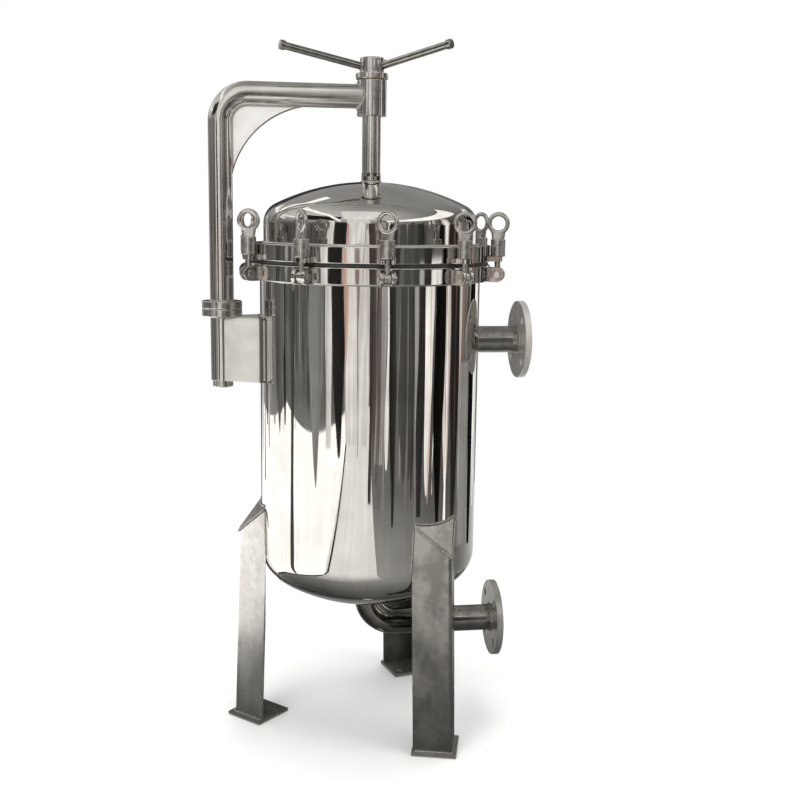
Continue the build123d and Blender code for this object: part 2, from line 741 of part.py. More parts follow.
os.makedirs("parts", exist_ok=True)
for name, solid in nodes.items():
    export_step(solid, f"parts/{name}.step")
print(len(nodes), "nodes")
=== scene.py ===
import json
import math

import bmesh
import bpy
import numpy as np
from mathutils import Matrix, Vector

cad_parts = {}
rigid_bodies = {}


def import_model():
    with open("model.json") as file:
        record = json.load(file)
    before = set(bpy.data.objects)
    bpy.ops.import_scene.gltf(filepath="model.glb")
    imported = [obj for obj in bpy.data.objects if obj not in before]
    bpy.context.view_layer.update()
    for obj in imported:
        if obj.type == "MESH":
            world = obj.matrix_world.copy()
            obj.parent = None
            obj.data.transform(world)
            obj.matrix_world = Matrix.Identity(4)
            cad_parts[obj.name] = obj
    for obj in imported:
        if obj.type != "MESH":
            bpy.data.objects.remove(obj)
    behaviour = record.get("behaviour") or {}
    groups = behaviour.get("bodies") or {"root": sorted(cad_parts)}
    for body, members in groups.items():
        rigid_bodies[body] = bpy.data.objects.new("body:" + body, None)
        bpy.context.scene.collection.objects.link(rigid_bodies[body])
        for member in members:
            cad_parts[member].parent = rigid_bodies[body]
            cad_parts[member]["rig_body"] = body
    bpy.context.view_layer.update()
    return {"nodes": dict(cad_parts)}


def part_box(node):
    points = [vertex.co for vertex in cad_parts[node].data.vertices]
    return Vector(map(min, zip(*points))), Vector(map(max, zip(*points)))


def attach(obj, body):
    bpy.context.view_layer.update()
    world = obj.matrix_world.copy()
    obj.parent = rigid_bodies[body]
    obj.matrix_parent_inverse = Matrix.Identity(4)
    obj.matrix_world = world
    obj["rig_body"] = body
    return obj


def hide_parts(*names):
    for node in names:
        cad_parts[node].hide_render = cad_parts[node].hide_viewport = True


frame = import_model()

# Bag filter housing in polished stainless steel. Sizes are in metres and follow the frame.
MM = 0.001
TAU = 2 * math.pi


# ---- sizes read from the frame ----
def low(node, axis):
    """The node's lowest coordinate along axis 0, 1 or 2."""
    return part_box(node)[0][axis]


def high(node, axis):
    """The node's highest coordinate along axis 0, 1 or 2."""
    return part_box(node)[1][axis]


def centre_of(node, axis):
    """The middle of the node's box along axis 0, 1 or 2."""
    return (low(node, axis) + high(node, axis)) / 2


# vessel
shell_r = high("shell", 1)
shell_wall = 5 * MM
shell_bottom, joint_z = low("shell", 2), high("shell", 2)
flange_r = high("body_flange", 1)
flange_bottom = low("body_flange", 2)
head_skirt = 25 * MM
head_bend_z = shell_bottom - head_skirt
head_low = low("bottom_head", 2)
gasket_bore_r = shell_r - shell_wall + 1 * MM
# lid
lid_face = high("gasket", 2)
lid_r = high("lid_head", 1)
lid_flange_top = high("lid_flange", 2)
lid_skirt_top = lid_flange_top + 40 * MM
# Walls, heads and rings that join have their points at the same angles.
vessel_steps = 192
long_seam_steps = 1500
# nozzles
pipe_r, pipe_wall = 28.5 * MM, 3 * MM
nozzle_flange_thickness = 14 * MM
inlet_z, inlet_face = centre_of("inlet_flange", 2), high("inlet_flange", 0)
outlet_z, outlet_face = centre_of("outlet_flange", 2), high("outlet_flange", 0)
elbow_bend_r = 60 * MM
weld_setback = 4 * MM
# davit
post_x = centre_of("socket_collar", 0)
davit_r, davit_wall = 24.15 * MM, 3 * MM
davit_bend_r = 57 * MM
arm_z = high("davit_pipe", 2) - davit_r
collar_r = (high("davit_collar", 0) - low("davit_collar", 0)) / 2
collar_thickness = 16 * MM
seat_z = low("davit_collar", 2)
running_gap = 0.05 * MM
boss_r = high("arm_boss", 1)
boss_bottom, boss_top = low("arm_boss", 2), high("arm_boss", 2)
rod_r, screw_r = 19 * MM, 12 * MM
# swing bolts
bolt_circle_r = 266.5 * MM
pin_z = joint_z - 19 * MM
nut_foot = low("ring_nut_01", 2)
nut_top = nut_foot + 35 * MM
nut_r = 15 * MM
shank_r = 6 * MM
bolt_azimuths = np.radians(18 + 36 * np.arange(10))
eye_azimuths = np.radians([35, 100, 20, 75, 140, 80, 20, 55, 85, 75])
lug_r = (high("flange_lugs", 2) - low("flange_lugs", 2)) / 2
# legs
leg_azimuths = {"left": math.radians(180), "front": math.radians(300), "rear": math.radians(60)}
leg_edge = 80 * MM / math.sqrt(2)
leg_run_out = 12.5 * MM
leg_heel_r = math.sqrt(shell_r ** 2 - leg_edge ** 2) + leg_edge + leg_run_out
leg_heel_top = head_bend_z + 36 * MM
leg_top_rise = math.tan(math.radians(48))


# ---- surfaces ----
def around(steps):
    """Even angles once round a circle."""
    return TAU * np.arange(steps) / steps


def xyz(x, y, z):
    """Points from their coordinates, each an array or one value for all of them."""
    return np.stack(np.broadcast_arrays(x, y, z), axis=-1)


def unit(vectors):
    """Vectors brought to a length of one."""
    return vectors / np.linalg.norm(vectors, axis=-1, keepdims=True)


def run_along(path):
    """The distance run along a path at each of its points."""
    return np.concatenate([[0], np.cumsum(np.linalg.norm(np.diff(path, axis=0), axis=1))])


def grid_faces(rows, columns, close_rows=False, close_columns=False):
    """Corner numbers of every cell of a grid of points, counted row by row."""
    row = np.arange(rows if close_rows else rows - 1)[:, None]
    column = np.arange(columns if close_columns else columns - 1)[None, :]
    next_row, next_column = (row + 1) % rows, (column + 1) % columns
    corners = [(row, column), (row, next_column), (next_row, next_column), (next_row, column)]
    return np.stack([r * columns + c for r, c in corners], axis=-1).reshape(-1, 4)


def surface(points, close_rows=False, close_columns=True):
    """A grid of points as (points, faces)."""
    faces = grid_faces(*points.shape[:2], close_rows, close_columns)
    return points.reshape(-1, 3), faces


def rounded(corners, radius, closed=True):
    """Outline with every corner turned along an arc tangent to both sides, and a point beside
    each arc that keeps the long side flat. The arc's centre lies on the corner's bisector,
    radius / sin(half angle) away, and the radius fits into 0.4 of the shorter side."""
    corners = np.asarray(corners, float)
    before = np.roll(corners, 1, axis=0) - corners
    after = np.roll(corners, -1, axis=0) - corners
    shorter = np.minimum(np.linalg.norm(before, axis=1), np.linalg.norm(after, axis=1))
    before, after = unit(before), unit(after)
    half = np.arccos(np.clip((before * after).sum(1), -1, 1)) / 2
    r = np.minimum(radius, 0.4 * shorter * np.tan(half))[:, None]
    bisector = before + after
    bisector /= np.maximum(np.linalg.norm(bisector, axis=1, keepdims=True), 1e-12)
    centre = corners + bisector * (r / np.sin(half)[:, None])
    start = corners + before * (r / np.tan(half)[:, None]) - centre
    end = corners + after * (r / np.tan(half)[:, None]) - centre
    turn = np.maximum(math.pi - 2 * half, 1e-6)[:, None]
    t = np.linspace(0, 1, 5)
    weight_a = (np.sin((1 - t) * turn) / np.sin(turn))[..., None]
    weight_b = (np.sin(t * turn) / np.sin(turn))[..., None]
    arcs = centre[:, None] + weight_a * start[:, None] + weight_b * end[:, None]
    lead_in = arcs[:, :1] + (before * 0.6 * r)[:, None]
    lead_out = arcs[:, -1:] + (after * 0.6 * r)[:, None]
    points = np.concatenate([lead_in, arcs, lead_out], axis=1)
    if not closed:
        points[0], points[-1] = corners[0], corners[-1]
    return points.reshape(-1, 2)


def turned(radii, heights, steps=64):
    """Surface of revolution about Z: x = r cos a, y = r sin a, z = h, with a round the circle.
    radii may also change with the angle, as an array of rows by steps."""
    angle = around(steps)
    radii, heights = (np.reshape(values, (len(values), -1)) for values in (radii, heights))
    return xyz(radii * np.cos(angle), radii * np.sin(angle), heights)


def turned_solid(outline, steps=64, closed=True):
    """A turned surface from an (r, h) outline. A closed outline makes a ring; an open one
    starts and ends on the axis."""
    return surface(turned(*outline.T, steps), closed)


def ring_solid(outer_r, inner_r, bottom, top, edge, steps=96):
    """A ring of rectangular section with rounded edges."""
    section = [(inner_r, bottom), (outer_r, bottom), (outer_r, top), (inner_r, top)]
    return turned_solid(rounded(section, edge), steps)


def bar_solid(corners, edge, steps=48):
    """A solid turned bar. corners run from the axis at its foot to the axis at its top."""
    return turned_solid(rounded(corners, edge, False), steps, False)


def circles(path, across, up, radius, sides):
    """A circle about each point of a path, in the plane of two unit vectors."""
    a = around(sides)[:, None]
    circle = across[:, None] * np.cos(a) + up[:, None] * np.sin(a)
    return path[:, None] + np.reshape(radius, (-1, 1, 1)) * circle


def pipe_surface(path, outer_r, wall):
    """A pipe along a path in the XZ plane: its outer wall out, its inner wall back, and both
    ends closed. Across its section run n = along x Y, and n x along."""
    along = unit(np.gradient(path, axis=0))
    across = unit(np.cross(along, (0, 1, 0)))
    up = np.cross(across, along)
    outer, inner = (circles(path, across, up, r, 64) for r in (outer_r, outer_r - wall))
    return np.concatenate([outer, inner[::-1]])


def spaced(corners, step=0.9 * MM):
    """Points at even steps along a broken line."""
    corners = np.asarray(corners, float)
    run = run_along(corners)
    even = np.linspace(0, run[-1], max(int(run[-1] / step), 8))
    return xyz(*(np.interp(even, run, values) for values in corners.T))


def bead(path, radius, closed=False):
    """A weld bead: a tube whose radius swells by a tenth once for every ripple of the run,
    r = radius (1 + 0.1 sin(2 pi s / ripple)), and closes to a point at open ends."""
    ripple, sides = 4.2 * MM, 10
    no_seams_way = (0.31, 0.42, 0.85)
    looped = np.concatenate([path[-1:], path, path[:1]])
    along = unit(looped[2:] - looped[:-2] if closed else np.gradient(path, axis=0))
    run = run_along(path)
    r = radius * (1 + 0.1 * np.sin(TAU * run / ripple))
    if not closed:
        r = r * np.sqrt(np.clip(np.minimum(run, run[-1] - run) / radius, 0, 1))
    across = unit(np.cross(along, no_seams_way))
    return surface(circles(path, across, np.cross(across, along), r, sides), closed)


def ring_bead(radius, height, size, steps=160):
    """A level bead round Z."""
    a = around(steps)
    return bead(xyz(radius * np.cos(a), radius * np.sin(a), height), size, True)


def plate(outline, thickness, edge):
    """A flat plate, its rim rounded: the outline stands edge (1 - cos b) in from its full size
    at the height half thickness - edge (1 - sin b), and both faces close at its middle."""
    along = np.roll(outline, -1, axis=0) - np.roll(outline, 1, axis=0)
    inwards = unit(np.stack([-along[:, 1], along[:, 0]], axis=-1))
    bend = np.linspace(math.pi / 2, 0, 4)
    inset = np.concatenate([[1.6], 1 - np.cos(bend)]) * edge
    rise = thickness / 2 - np.concatenate([[0], 1 - np.sin(bend)]) * edge
    inset = np.concatenate([inset, inset[::-1]])[:, None, None]
    rise = np.concatenate([rise, -rise[::-1]])[:, None]
    flat = outline + inset * inwards
    flat = xyz(flat[..., 0], flat[..., 1], rise)
    poles = [np.broadcast_to((*outline.mean(0), z), flat[:1].shape) for z in rise[[0, -1], 0]]
    return surface(np.concatenate([poles[0], flat, poles[1]]))


def placed(piece, turn=None, at=(0, 0, 0)):
    """A surface turned by a matrix and then moved."""
    points, faces = piece
    matrix = np.eye(3) if turn is None else turn
    return points @ matrix.T + np.asarray(at, float), faces


def about(axis, angle):
    """A turn about X, Y or Z as a 3 by 3 array."""
    return np.array(Matrix.Rotation(angle, 3, axis))


ALONG_X = about("Y", math.pi / 2)
ALONG_Y = about("X", -math.pi / 2)


# ---- making a piece ----
def smoothed(mesh, angle=38):
    """Smooth faces, with an edge kept sharp where it turns by more than the angle."""
    mesh.polygons.foreach_set("use_smooth", np.ones(len(mesh.polygons), bool))
    mesh.set_sharp_from_angle(angle=math.radians(angle))
    mesh.update()


def show(name, mesh, body, finish, replaced):
    """Links a mesh as a piece that rides on a body, in a finish, for the nodes it replaces."""
    piece = bpy.data.objects.new(name, mesh)
    bpy.context.scene.collection.objects.link(piece)
    mesh.materials.clear()
    mesh.materials.append(finish)
    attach(piece, body)
    if replaced:
        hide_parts(*replaced)
    return piece


def build(name, surfaces, body, finish, slot, *replaced):
    """One piece from several surfaces: points that lie together are joined, poles are closed
    and the faces are turned outwards."""
    counts = np.cumsum([0] + [len(points) for points, _ in surfaces])
    points = np.concatenate([points for points, _ in surfaces])
    faces = np.concatenate([faces + start for (_, faces), start in zip(surfaces, counts)])
    mesh = bpy.data.meshes.new(name)
    mesh.from_pydata(points, [], faces.tolist())
    work = bmesh.new()
    work.from_mesh(mesh)
    bmesh.ops.remove_doubles(work, verts=work.verts, dist=1e-6)
    bmesh.ops.dissolve_degenerate(work, edges=work.edges, dist=1e-7)
    bmesh.ops.recalc_face_normals(work, faces=work.faces)
    work.to_mesh(mesh)
    work.free()
    smoothed(mesh)
    show(name, mesh, body, finish, replaced)


def dressed(node, name, finish, edge=0.0):
    """A node's mesh with its points joined, its flat faces made one, and its sharp edges broken
    by a small round."""
    source = frame["nodes"][node]
    mesh = source.data.copy()
    work = bmesh.new()
    work.from_mesh(mesh)
    bmesh.ops.remove_doubles(work, verts=work.verts, dist=1e-6)
    flat = math.radians(0.4)
    bmesh.ops.dissolve_limit(work, angle_limit=flat, verts=work.verts, edges=work.edges)
    work.to_mesh(mesh)
    work.free()
    smoothed(mesh, 30)
    piece = show(name, mesh, source["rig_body"], finish, [node])
    if edge:
        bevel = piece.modifiers.new("broken_edges", "BEVEL")
        bevel.width = edge
        bevel.segments = 2
        bevel.limit_method = "ANGLE"
        bevel.angle_limit = math.radians(40)
        bevel.harden_normals = True


# ---- finishes ----
def colour(code):
    """An sRGB hex colour as linear values."""
    srgb = np.array([int(code[i:i + 2], 16) for i in (1, 3, 5)]) / 255
    linear = np.where(srgb <= 0.04045, srgb / 12.92, ((srgb + 0.055) / 1.055) ** 2.4)
    return (*map(float, linear), 1.0)


def add(tree, kind, values=(), out=0, stops=(), **settings):
    """Adds a node and gives one of its outputs. values set or link its sockets, by name or in
    their order, settings are its own properties, and stops are a ramp's (place, hex colour)."""
    node = tree.nodes.new("ShaderNode" + kind)
    for key, value in settings.items():
        setattr(node, key, value)
    for key, value in values.items() if isinstance(values, dict) else enumerate(values):
        if isinstance(value, bpy.types.NodeSocket):
            tree.links.new(value, node.inputs[key])
        else:
            node.inputs[key].default_value = value
    for _ in stops[2:]:
        node.color_ramp.elements.new(1.0)
    for element, (place, code) in zip(node.color_ramp.elements if stops else (), stops):
        element.position = place
        element.color = colour(code)
    return node.outputs[out] if node.outputs else None


def mottle(tree, place, size_mm, detail=2.0, stretch=(1, 1, 1), roughness=0.5):
    """A pattern whose features are about size_mm, longer along an axis stretched below one."""
    mapped = add(tree, "Mapping", {"Vector": place, "Scale": stretch})
    per_metre = 1000 / size_mm
    values = {"Vector": mapped, "Scale": per_metre, "Detail": detail, "Roughness": roughness}
    return add(tree, "TexNoise", values)


def blank(name):
    """An empty material and its node tree."""
    material = bpy.data.materials.new(name)
    material.use_nodes = True
    material.node_tree.nodes.clear()
    return material, material.node_tree


def make_finish(name, makes, *options):
    """A metal or other finish: makes(tree, place, options) gives the shader's values, from the
    object's own coordinates."""
    material, tree = blank(name)
    values = makes(tree, add(tree, "TexCoord", out="Object"), *options)
    add(tree, "OutputMaterial", {"Surface": add(tree, "BsdfPrincipled", values)})
    return material


def metal(base, rough, normal, metallic=1.0):
    """A metal's values for the shader."""
    return {"Base Color": base, "Metallic": metallic, "Roughness": rough, "Normal": normal}


def mirror_stainless(tree, place, waves=((120, 0.62, 0.16), (420, 1.7, 0.3)), haze=(0.015, 0.06)):
    """Cold-rolled 304 plate, belt ground and then buffed to a mirror: near-perfect reflections
    that the sheet's own long slight waves bend, with a faint haze where the mop turned. Each
    wave is (width in mm, height in mm, how much it is drawn out along Z)."""
    tone = mottle(tree, place, 70, 3.0)
    base = add(tree, "ValToRGB", (tone,), stops=((0.3, "#c6c3be"), (0.7, "#d8d6d2")))
    smear = mottle(tree, place, 26, 4.0, (1, 1, 0.4))
    rough = add(tree, "MapRange", (smear, 0.35, 0.72, *haze))
    lines = mottle(tree, place, 2.4, 1.0, (1, 1, 0.04))
    normal = add(tree, "Bump", {"Height": lines, "Distance": 0.0015 * MM})
    for width, height, drawn in waves:
        wave = mottle(tree, place, width, 1.0, (1, 1, drawn))
        values = {"Height": wave, "Distance": height * MM, "Normal": normal}
        normal = add(tree, "Bump", values)
    return metal(base, rough, normal)


def turned_stainless(tree, place, haze=(0.17, 0.27), tones=("#b9b6b1", "#d0cdc8"), grit=0.002):
    """304 bar turned on a lathe and lightly buffed: fine rings round the axis, a soft mirror."""
    tone = mottle(tree, place, 18, 3.0)
    base = add(tree, "ValToRGB", (tone,), stops=((0.3, tones[0]), (0.7, tones[1])))
    rings = mottle(tree, place, 3.0, 1.0, (0.05, 0.05, 1))
    rough = add(tree, "MapRange", (mottle(tree, place, 9, 3.0), 0.3, 0.7, *haze))
    return metal(base, rough, add(tree, "Bump", {"Height": rings, "Distance": grit * MM}))


def milled_stainless(tree, place, dark="#7b7975", pale="#a8a5a0", rough=(0.2, 0.32), drawn=0.12,
                     metallic=0.95, dusty=0.45):
    """Hot-rolled, pickled plate left as milled: a dull, cloudy grey with smudges and long
    handling marks, so reflections are only a blurred light and shade. Below 0.4 m its colour
    is mixed into a darker grey, most at the floor: painted shade, darker towards the bottom."""
    clouds = mottle(tree, place, 46, 3.0, (1, 1, 0.55), 0.5)
    blots = mottle(tree, place, 13, 2.0)
    mixed = add(tree, "Math", (blots, 0.3, clouds), operation="MULTIPLY_ADD")
    base = add(tree, "ValToRGB", (mixed,), stops=((0.5, dark), (0.8, pale)))
    # Painted shade: below 0.4 m the colour goes towards a darker grey, most at the floor.
    height = add(tree, "SeparateXYZ", (place,), "Z")
    dust = add(tree, "MapRange", (height, 0.0, 0.4, dusty, 0.0))
    values = {"Factor": dust, "A": base, "B": colour("#6f6c67")}
    base = add(tree, "Mix", values, "Result", data_type="RGBA")
    rougher = add(tree, "MapRange", (clouds, 0.35, 0.68, *rough))
    marks = mottle(tree, place, 2.4, 2.0, (1, 1, drawn))
    normal = add(tree, "Bump", {"Height": marks, "Distance": 0.02 * MM})
    return metal(base, rougher, normal, metallic)


def satin_stainless(tree, place, dark, pale, tinted_x=None):
    """Plate blasted with glass beads and then touched with a flap disc: pale and even, so dull
    that much of its light is scattered, with short arcs of grinding marks. Past a given x its
    colour turns dark grey: painted shade where the plate meets the shell."""
    tone = mottle(tree, place, 45, 3.0)
    base = add(tree, "ValToRGB", (tone,), stops=((0.3, dark), (0.7, pale)))
    # Painted shade: past the given x the colour is mixed into a dark grey.
    if tinted_x is not None:
        across = add(tree, "SeparateXYZ", (place,), "X")
        heat = add(tree, "MapRange", (across, tinted_x, tinted_x + 3 * MM, 0.0, 1.0))
        values = {"Factor": heat, "A": base, "B": colour("#57534f")}
        base = add(tree, "Mix", values, "Result", data_type="RGBA")
    grinding = mottle(tree, place, 1.6, 3.0, (0.1, 1, 1))
    rough = add(tree, "MapRange", (mottle(tree, place, 16, 2.0), 0.3, 0.7, 0.38, 0.5))
    normal = add(tree, "Bump", {"Height": grinding, "Distance": 0.02 * MM})
    return metal(base, rough, normal, 0.55)


def weld_metal(tree, place):
    """Stainless filler left from the torch and brushed: rippled, straw to grey-blue in tint."""
    tint = mottle(tree, place, 8, 3.0)
    stops = ((0.3, "#a39c92"), (0.5, "#c4bfb8"), (0.68, "#b8b9bb"))
    base = add(tree, "ValToRGB", (tint,), stops=stops)
    grit = mottle(tree, place, 1.3, 2.0)
    rough = add(tree, "MapRange", (grit, 0.3, 0.7, 0.22, 0.42))
    return metal(base, rough, add(tree, "Bump", {"Height": grit, "Distance": 0.06 * MM}))


def seal_rubber(tree, place):
    """Moulded EPDM sheet: near-black, matt, dusted, with a fine moulded grain."""
    dust = mottle(tree, place, 14, 4.0)
    base = add(tree, "ValToRGB", (dust,), stops=((0.35, "#23211e"), (0.75, "#3b3833")))
    grain = mottle(tree, place, 0.9, 2.0)
    rough = add(tree, "MapRange", (dust, 0.3, 0.7, 0.55, 0.75))
    normal = add(tree, "Bump", {"Height": grain, "Distance": 0.03 * MM})
    return {"Base Color": base, "Roughness": rough, "IOR": 1.52, "Normal": normal}


def needle_felt(tree, place):
    """Needled polyester felt: off-white, fuzzy, with singed fibre ends and a pinned grain."""
    tufts = mottle(tree, place, 2.4, 5.0, (1, 1, 1), 0.7)
    mixed = add(tree, "Math", (tufts, mottle(tree, place, 60, 3.0)), operation="ADD")
    base = add(tree, "ValToRGB", (mixed,), stops=((0.75, "#cfc9ba"), (1.2, "#efece2")))
    normal = add(tree, "Bump", {"Height": tufts, "Distance": 0.35 * MM})
    return {"Base Color": base, "Roughness": 0.92, "Sheen Weight": 0.3, "Normal": normal}


def bearing_bronze(tree, place):
    """Cast tin bronze, freshly faced on a lathe: pale gold with fine rings and thin oil."""
    oil = mottle(tree, place, 9, 3.0)
    base = add(tree, "ValToRGB", (oil,), stops=((0.35, "#94835f"), (0.65, "#c9b78f")))
    rings = mottle(tree, place, 1.0, 2.0, (0.1, 0.1, 1))
    rough = add(tree, "MapRange", (oil, 0.3, 0.7, 0.25, 0.45))
    return metal(base, rough, add(tree, "Bump", {"Height": rings, "Distance": 0.02 * MM}))


mirror, lathe, mill, satin = mirror_stainless, turned_stainless, milled_stainless, satin_stainless
sheet_mirror = make_finish("sheet_mirror", mirror)
rim_mirror = make_finish("rim_mirror", mirror, ((50, 0.05, 1.0),), (0.03, 0.08))
dome_mirror = make_finish("dome_mirror", mirror, ((140, 0.22, 1.0),), (0.02, 0.07))
pipe_mirror = make_finish("pipe_mirror", mirror, ((60, 0.06, 1.0),), (0.09, 0.18))
turned_steel = make_finish("turned_steel", lathe)
cast_steel = make_finish("cast_steel", lathe, (0.05, 0.14), ("#b4b1ac", "#cfccc8"), 0.001)
nut_steel = make_finish("nut_steel", lathe, (0.2, 0.34), ("#b4b1ac", "#cdcac6"), 0.001)
bar_steel = make_finish("bar_steel", lathe, (0.1, 0.2), ("#8a8783", "#a8a5a0"), 0.001)
tube_steel = make_finish("tube_steel", lathe, (0.06, 0.14), ("#96938e", "#b3b0ab"), 0.001)
plate_grey = make_finish("plate_grey", mill)
# A much paler copy of the milled plate, for the left leg and the feet: painted light where light
# falls on them.
plate_pale = make_finish("plate_pale", mill, "#c9c6c1", "#e9e7e4", (0.2, 0.32), 0.12, 0.8, 0.75)
flange_grey = make_finish("flange_grey", mill, "#b0ada8", "#cdcac6", (0.28, 0.4), 1.0, 0.85, 0.3)
flange_pale = make_finish("flange_pale", mill, "#bfbcb7", "#d9d6d2", (0.34, 0.46), 1.0, 0.65, 0.0)
# The bracket turns dark from 5 mm off the shell: painted shade where it meets the shell.
ground_plate = make_finish("ground_plate", satin, "#c2beb9", "#d6d3cf", -shell_r - 5 * MM)
# Near white, far paler than the bracket's plate of the same satin: painted light on the gusset's
# faces.
web_plate = make_finish("web_plate", satin, "#e4e2df", "#f3f2f0")
weld_steel = make_finish("weld_steel", weld_metal)
rubber = make_finish("epdm_rubber", seal_rubber)
felt = make_finish("polyester_felt", needle_felt)
bronze = make_finish("tin_bronze", bearing_bronze)

POLISHED, MILLED, SATIN = "polished_stainless", "milled_stainless", "satin_stainless"


# ---- vessel ----
def dish_outline(radius, crown, knuckle, inset, skirt):
    """Half of a dished head's wall, dome up: skirt, then the knuckle's arc, then the crown's,
    each point centre + (r cos a, r sin a), shrunk by inset."""
    knuckle_x = radius - knuckle
    lean = math.asin(knuckle_x / (crown - knuckle))
    centre_z = -(crown - knuckle) * math.cos(lean)
    straight = np.stack([np.full(4, radius - inset), np.linspace(-skirt, 0, 5)[:-1]], axis=-1)
    a = np.linspace(0, math.pi / 2 - lean, 17)[:-1]
    r = knuckle - inset
    bend = np.stack([knuckle_x + r * np.cos(a), r * np.sin(a)], axis=-1)
    b = np.linspace(math.pi / 2 - lean, math.pi / 2, 33)
    r = crown - inset
    dome = np.stack([r * np.cos(b), centre_z + r * np.sin(b)], axis=-1)
    dome[-1, 0] = 0
    return np.concatenate([straight, bend, dome])


def dished_head(radius, crown_share, knuckle_share, skirt, bore=0.0):
    """A dished head of one wall: its outer face to the crown, or to a bore's edge there, and its
    inner face back."""
    crown, knuckle = 2 * radius * crown_share, 2 * radius * knuckle_share
    faces = [dish_outline(radius, crown, knuckle, inset, skirt) for inset in (0, shell_wall)]
    if bore:
        faces = [face[face[:, 0] > bore * 1.05] for face in faces]
        faces = [np.append(face, [(bore, face[-1, 1] + 0.1 * MM)], axis=0) for face in faces]
    return turned_solid(np.concatenate([faces[0], faces[1][::-1]]), vessel_steps)


def wall_grid(radius, bottom, top, hole_z, hole_r):
    """A round wall with a hole along +X. Cells near the hole give way to a patch whose rows
    run straight, in azimuth and height, from the cells left out to the hole's rim, where
    y = hole_r cos p, z = hole_z + hole_r sin p and x follows the wall."""
    columns = vessel_steps
    reach = 9
    half_width = TAU / columns * reach
    half_height = radius * half_width
    lower = np.linspace(bottom, hole_z - half_height, 22)
    beside = np.linspace(hole_z - half_height, hole_z + half_height, 2 * reach + 1)
    upper = np.linspace(hole_z + half_height, top, 8)
    heights = np.concatenate([lower, beside[1:-1], upper])
    a, z = np.meshgrid(around(columns), heights)
    flat = np.stack([a, z], axis=-1).reshape(-1, 2)
    faces = grid_faces(len(heights), columns, False, True)
    middle_a = flat[faces[:, 0], 0] + TAU / columns / 2
    from_hole = (middle_a + math.pi) % TAU - math.pi
    middle_z = flat[faces, 1].mean(1)
    inside = (abs(from_hole) < half_width) & (abs(middle_z - hole_z) < half_height)
    side = np.linspace(-1, 1, 2 * reach + 1)[:-1]
    ones = np.ones_like(side)
    loop_a = np.concatenate([side, ones, -side, -ones]) * half_width
    loop_z = hole_z + np.concatenate([-ones, side, ones, -side]) * half_height
    p = np.arctan2(loop_z - hole_z, loop_a * radius)
    rim_a = np.arcsin(hole_r * np.cos(p) / radius)
    rim_z = hole_z + hole_r * np.sin(p)
    t = np.linspace(0, 1, 9)[:, None]
    patch = np.stack([loop_a + (rim_a - loop_a) * t, loop_z + (rim_z - loop_z) * t], axis=-1)
    patch_faces = grid_faces(9, len(loop_a), False, True) + len(flat)
    a, z = np.concatenate([flat, patch.reshape(-1, 2)]).T
    points = xyz(radius * np.cos(a), radius * np.sin(a), z)
    return points, np.concatenate([faces[~inside], patch_faces]), points[-len(loop_a):]


def make_shell():
    """Outer and inner walls, joined at the foot, at the top and round the inlet's hole."""
    radii = (shell_r, shell_r - shell_wall)
    walls = [wall_grid(r, shell_bottom, joint_z, inlet_z, pipe_r) for r in radii]
    surfaces = [wall[:2] for wall in walls] + [surface(np.stack([wall[2] for wall in walls]))]
    for z in (shell_bottom, joint_z):
        surfaces.append(surface(turned(radii, (z, z), vessel_steps)))
    return surfaces


build("vessel_shell", make_shell(), "vessel", sheet_mirror, POLISHED, "shell")
bottom = dished_head(shell_r, 0.8, 0.154, head_skirt, pipe_r)
bottom = placed(bottom, about("X", math.pi), (0, 0, head_bend_z))
build("bottom_dish", [bottom], "vessel", sheet_mirror, POLISHED, "bottom_head")
body_ring = ring_solid(flange_r, shell_r, flange_bottom, joint_z, 1.8 * MM, vessel_steps)
build("body_flange_ring", [body_ring], "vessel", rim_mirror, POLISHED, "body_flange")
seal_r = high("gasket", 1)
seal = ring_solid(seal_r, gasket_bore_r, joint_z, lid_face, 1.5 * MM, vessel_steps)
build("seal_ring", [seal], "vessel", rubber, "seal_rubber", "gasket")


def lug_outline(reach, radius):
    """A tongue: two straight sides out to the pin, then half a circle about it."""
    a = np.linspace(-math.pi / 2, math.pi / 2, 25)
    round_end = np.stack([radius * np.cos(a), radius * np.sin(a)], axis=-1)
    back = np.linspace(1, -1, 7)[1:-1, None] * (0, radius) - (reach, 0)
    return np.concatenate([round_end, [(-reach, radius)], back, [(-reach, -radius)]])


def lugs_and_pins():
    """Every hinge's two lugs with a bead at each foot, and its headed pin, square to the bolt's
    swing."""
    lug = plate(lug_outline(bolt_circle_r - flange_r + 1 * MM, lug_r), 8 * MM, 1 * MM)
    lug = placed(lug, about("X", math.pi / 2))
    grip, head = 15 * MM, 3 * MM
    corners = [(0, -grip - head), (7 * MM, -grip - head), (7 * MM, -grip), (5 * MM, -grip)]
    corners += [(r, -z) for r, z in corners[::-1]]
    pin = placed(bar_solid(corners, 0.8 * MM, 32), ALONG_Y)
    lug_y, bead_y = 11 * MM, 15.5 * MM
    run = np.linspace(2 * MM - lug_r, lug_r - 2 * MM, 40)
    lugs = [placed(lug, at=(0, y, 0)) for y in (-lug_y, lug_y)]
    foot = flange_r - bolt_circle_r
    beads = [bead(xyz(foot, y, run), 2 * MM) for y in (-bead_y, bead_y)]
    place = (bolt_circle_r, 0, pin_z)
    return [on_bolts(part, place) for part in (lugs, [pin], beads)]


def on_bolts(part, at=(0, 0, 0)):
    """Surfaces moved to a place on the first bolt's side, once for every bolt."""
    turns = [about("Z", azimuth) for azimuth in bolt_azimuths]
    return [placed(one, turn, turn @ np.array(at)) for turn in turns for one in part]


lugs, pins, lug_beads = lugs_and_pins()
build("hinge_lugs", lugs, "vessel", cast_steel, POLISHED, "flange_lugs")
build("swing_pins", pins, "vessel", turned_steel, POLISHED, "hinge_pins")
build("lug_welds", lug_beads, "vessel", weld_steel, POLISHED)


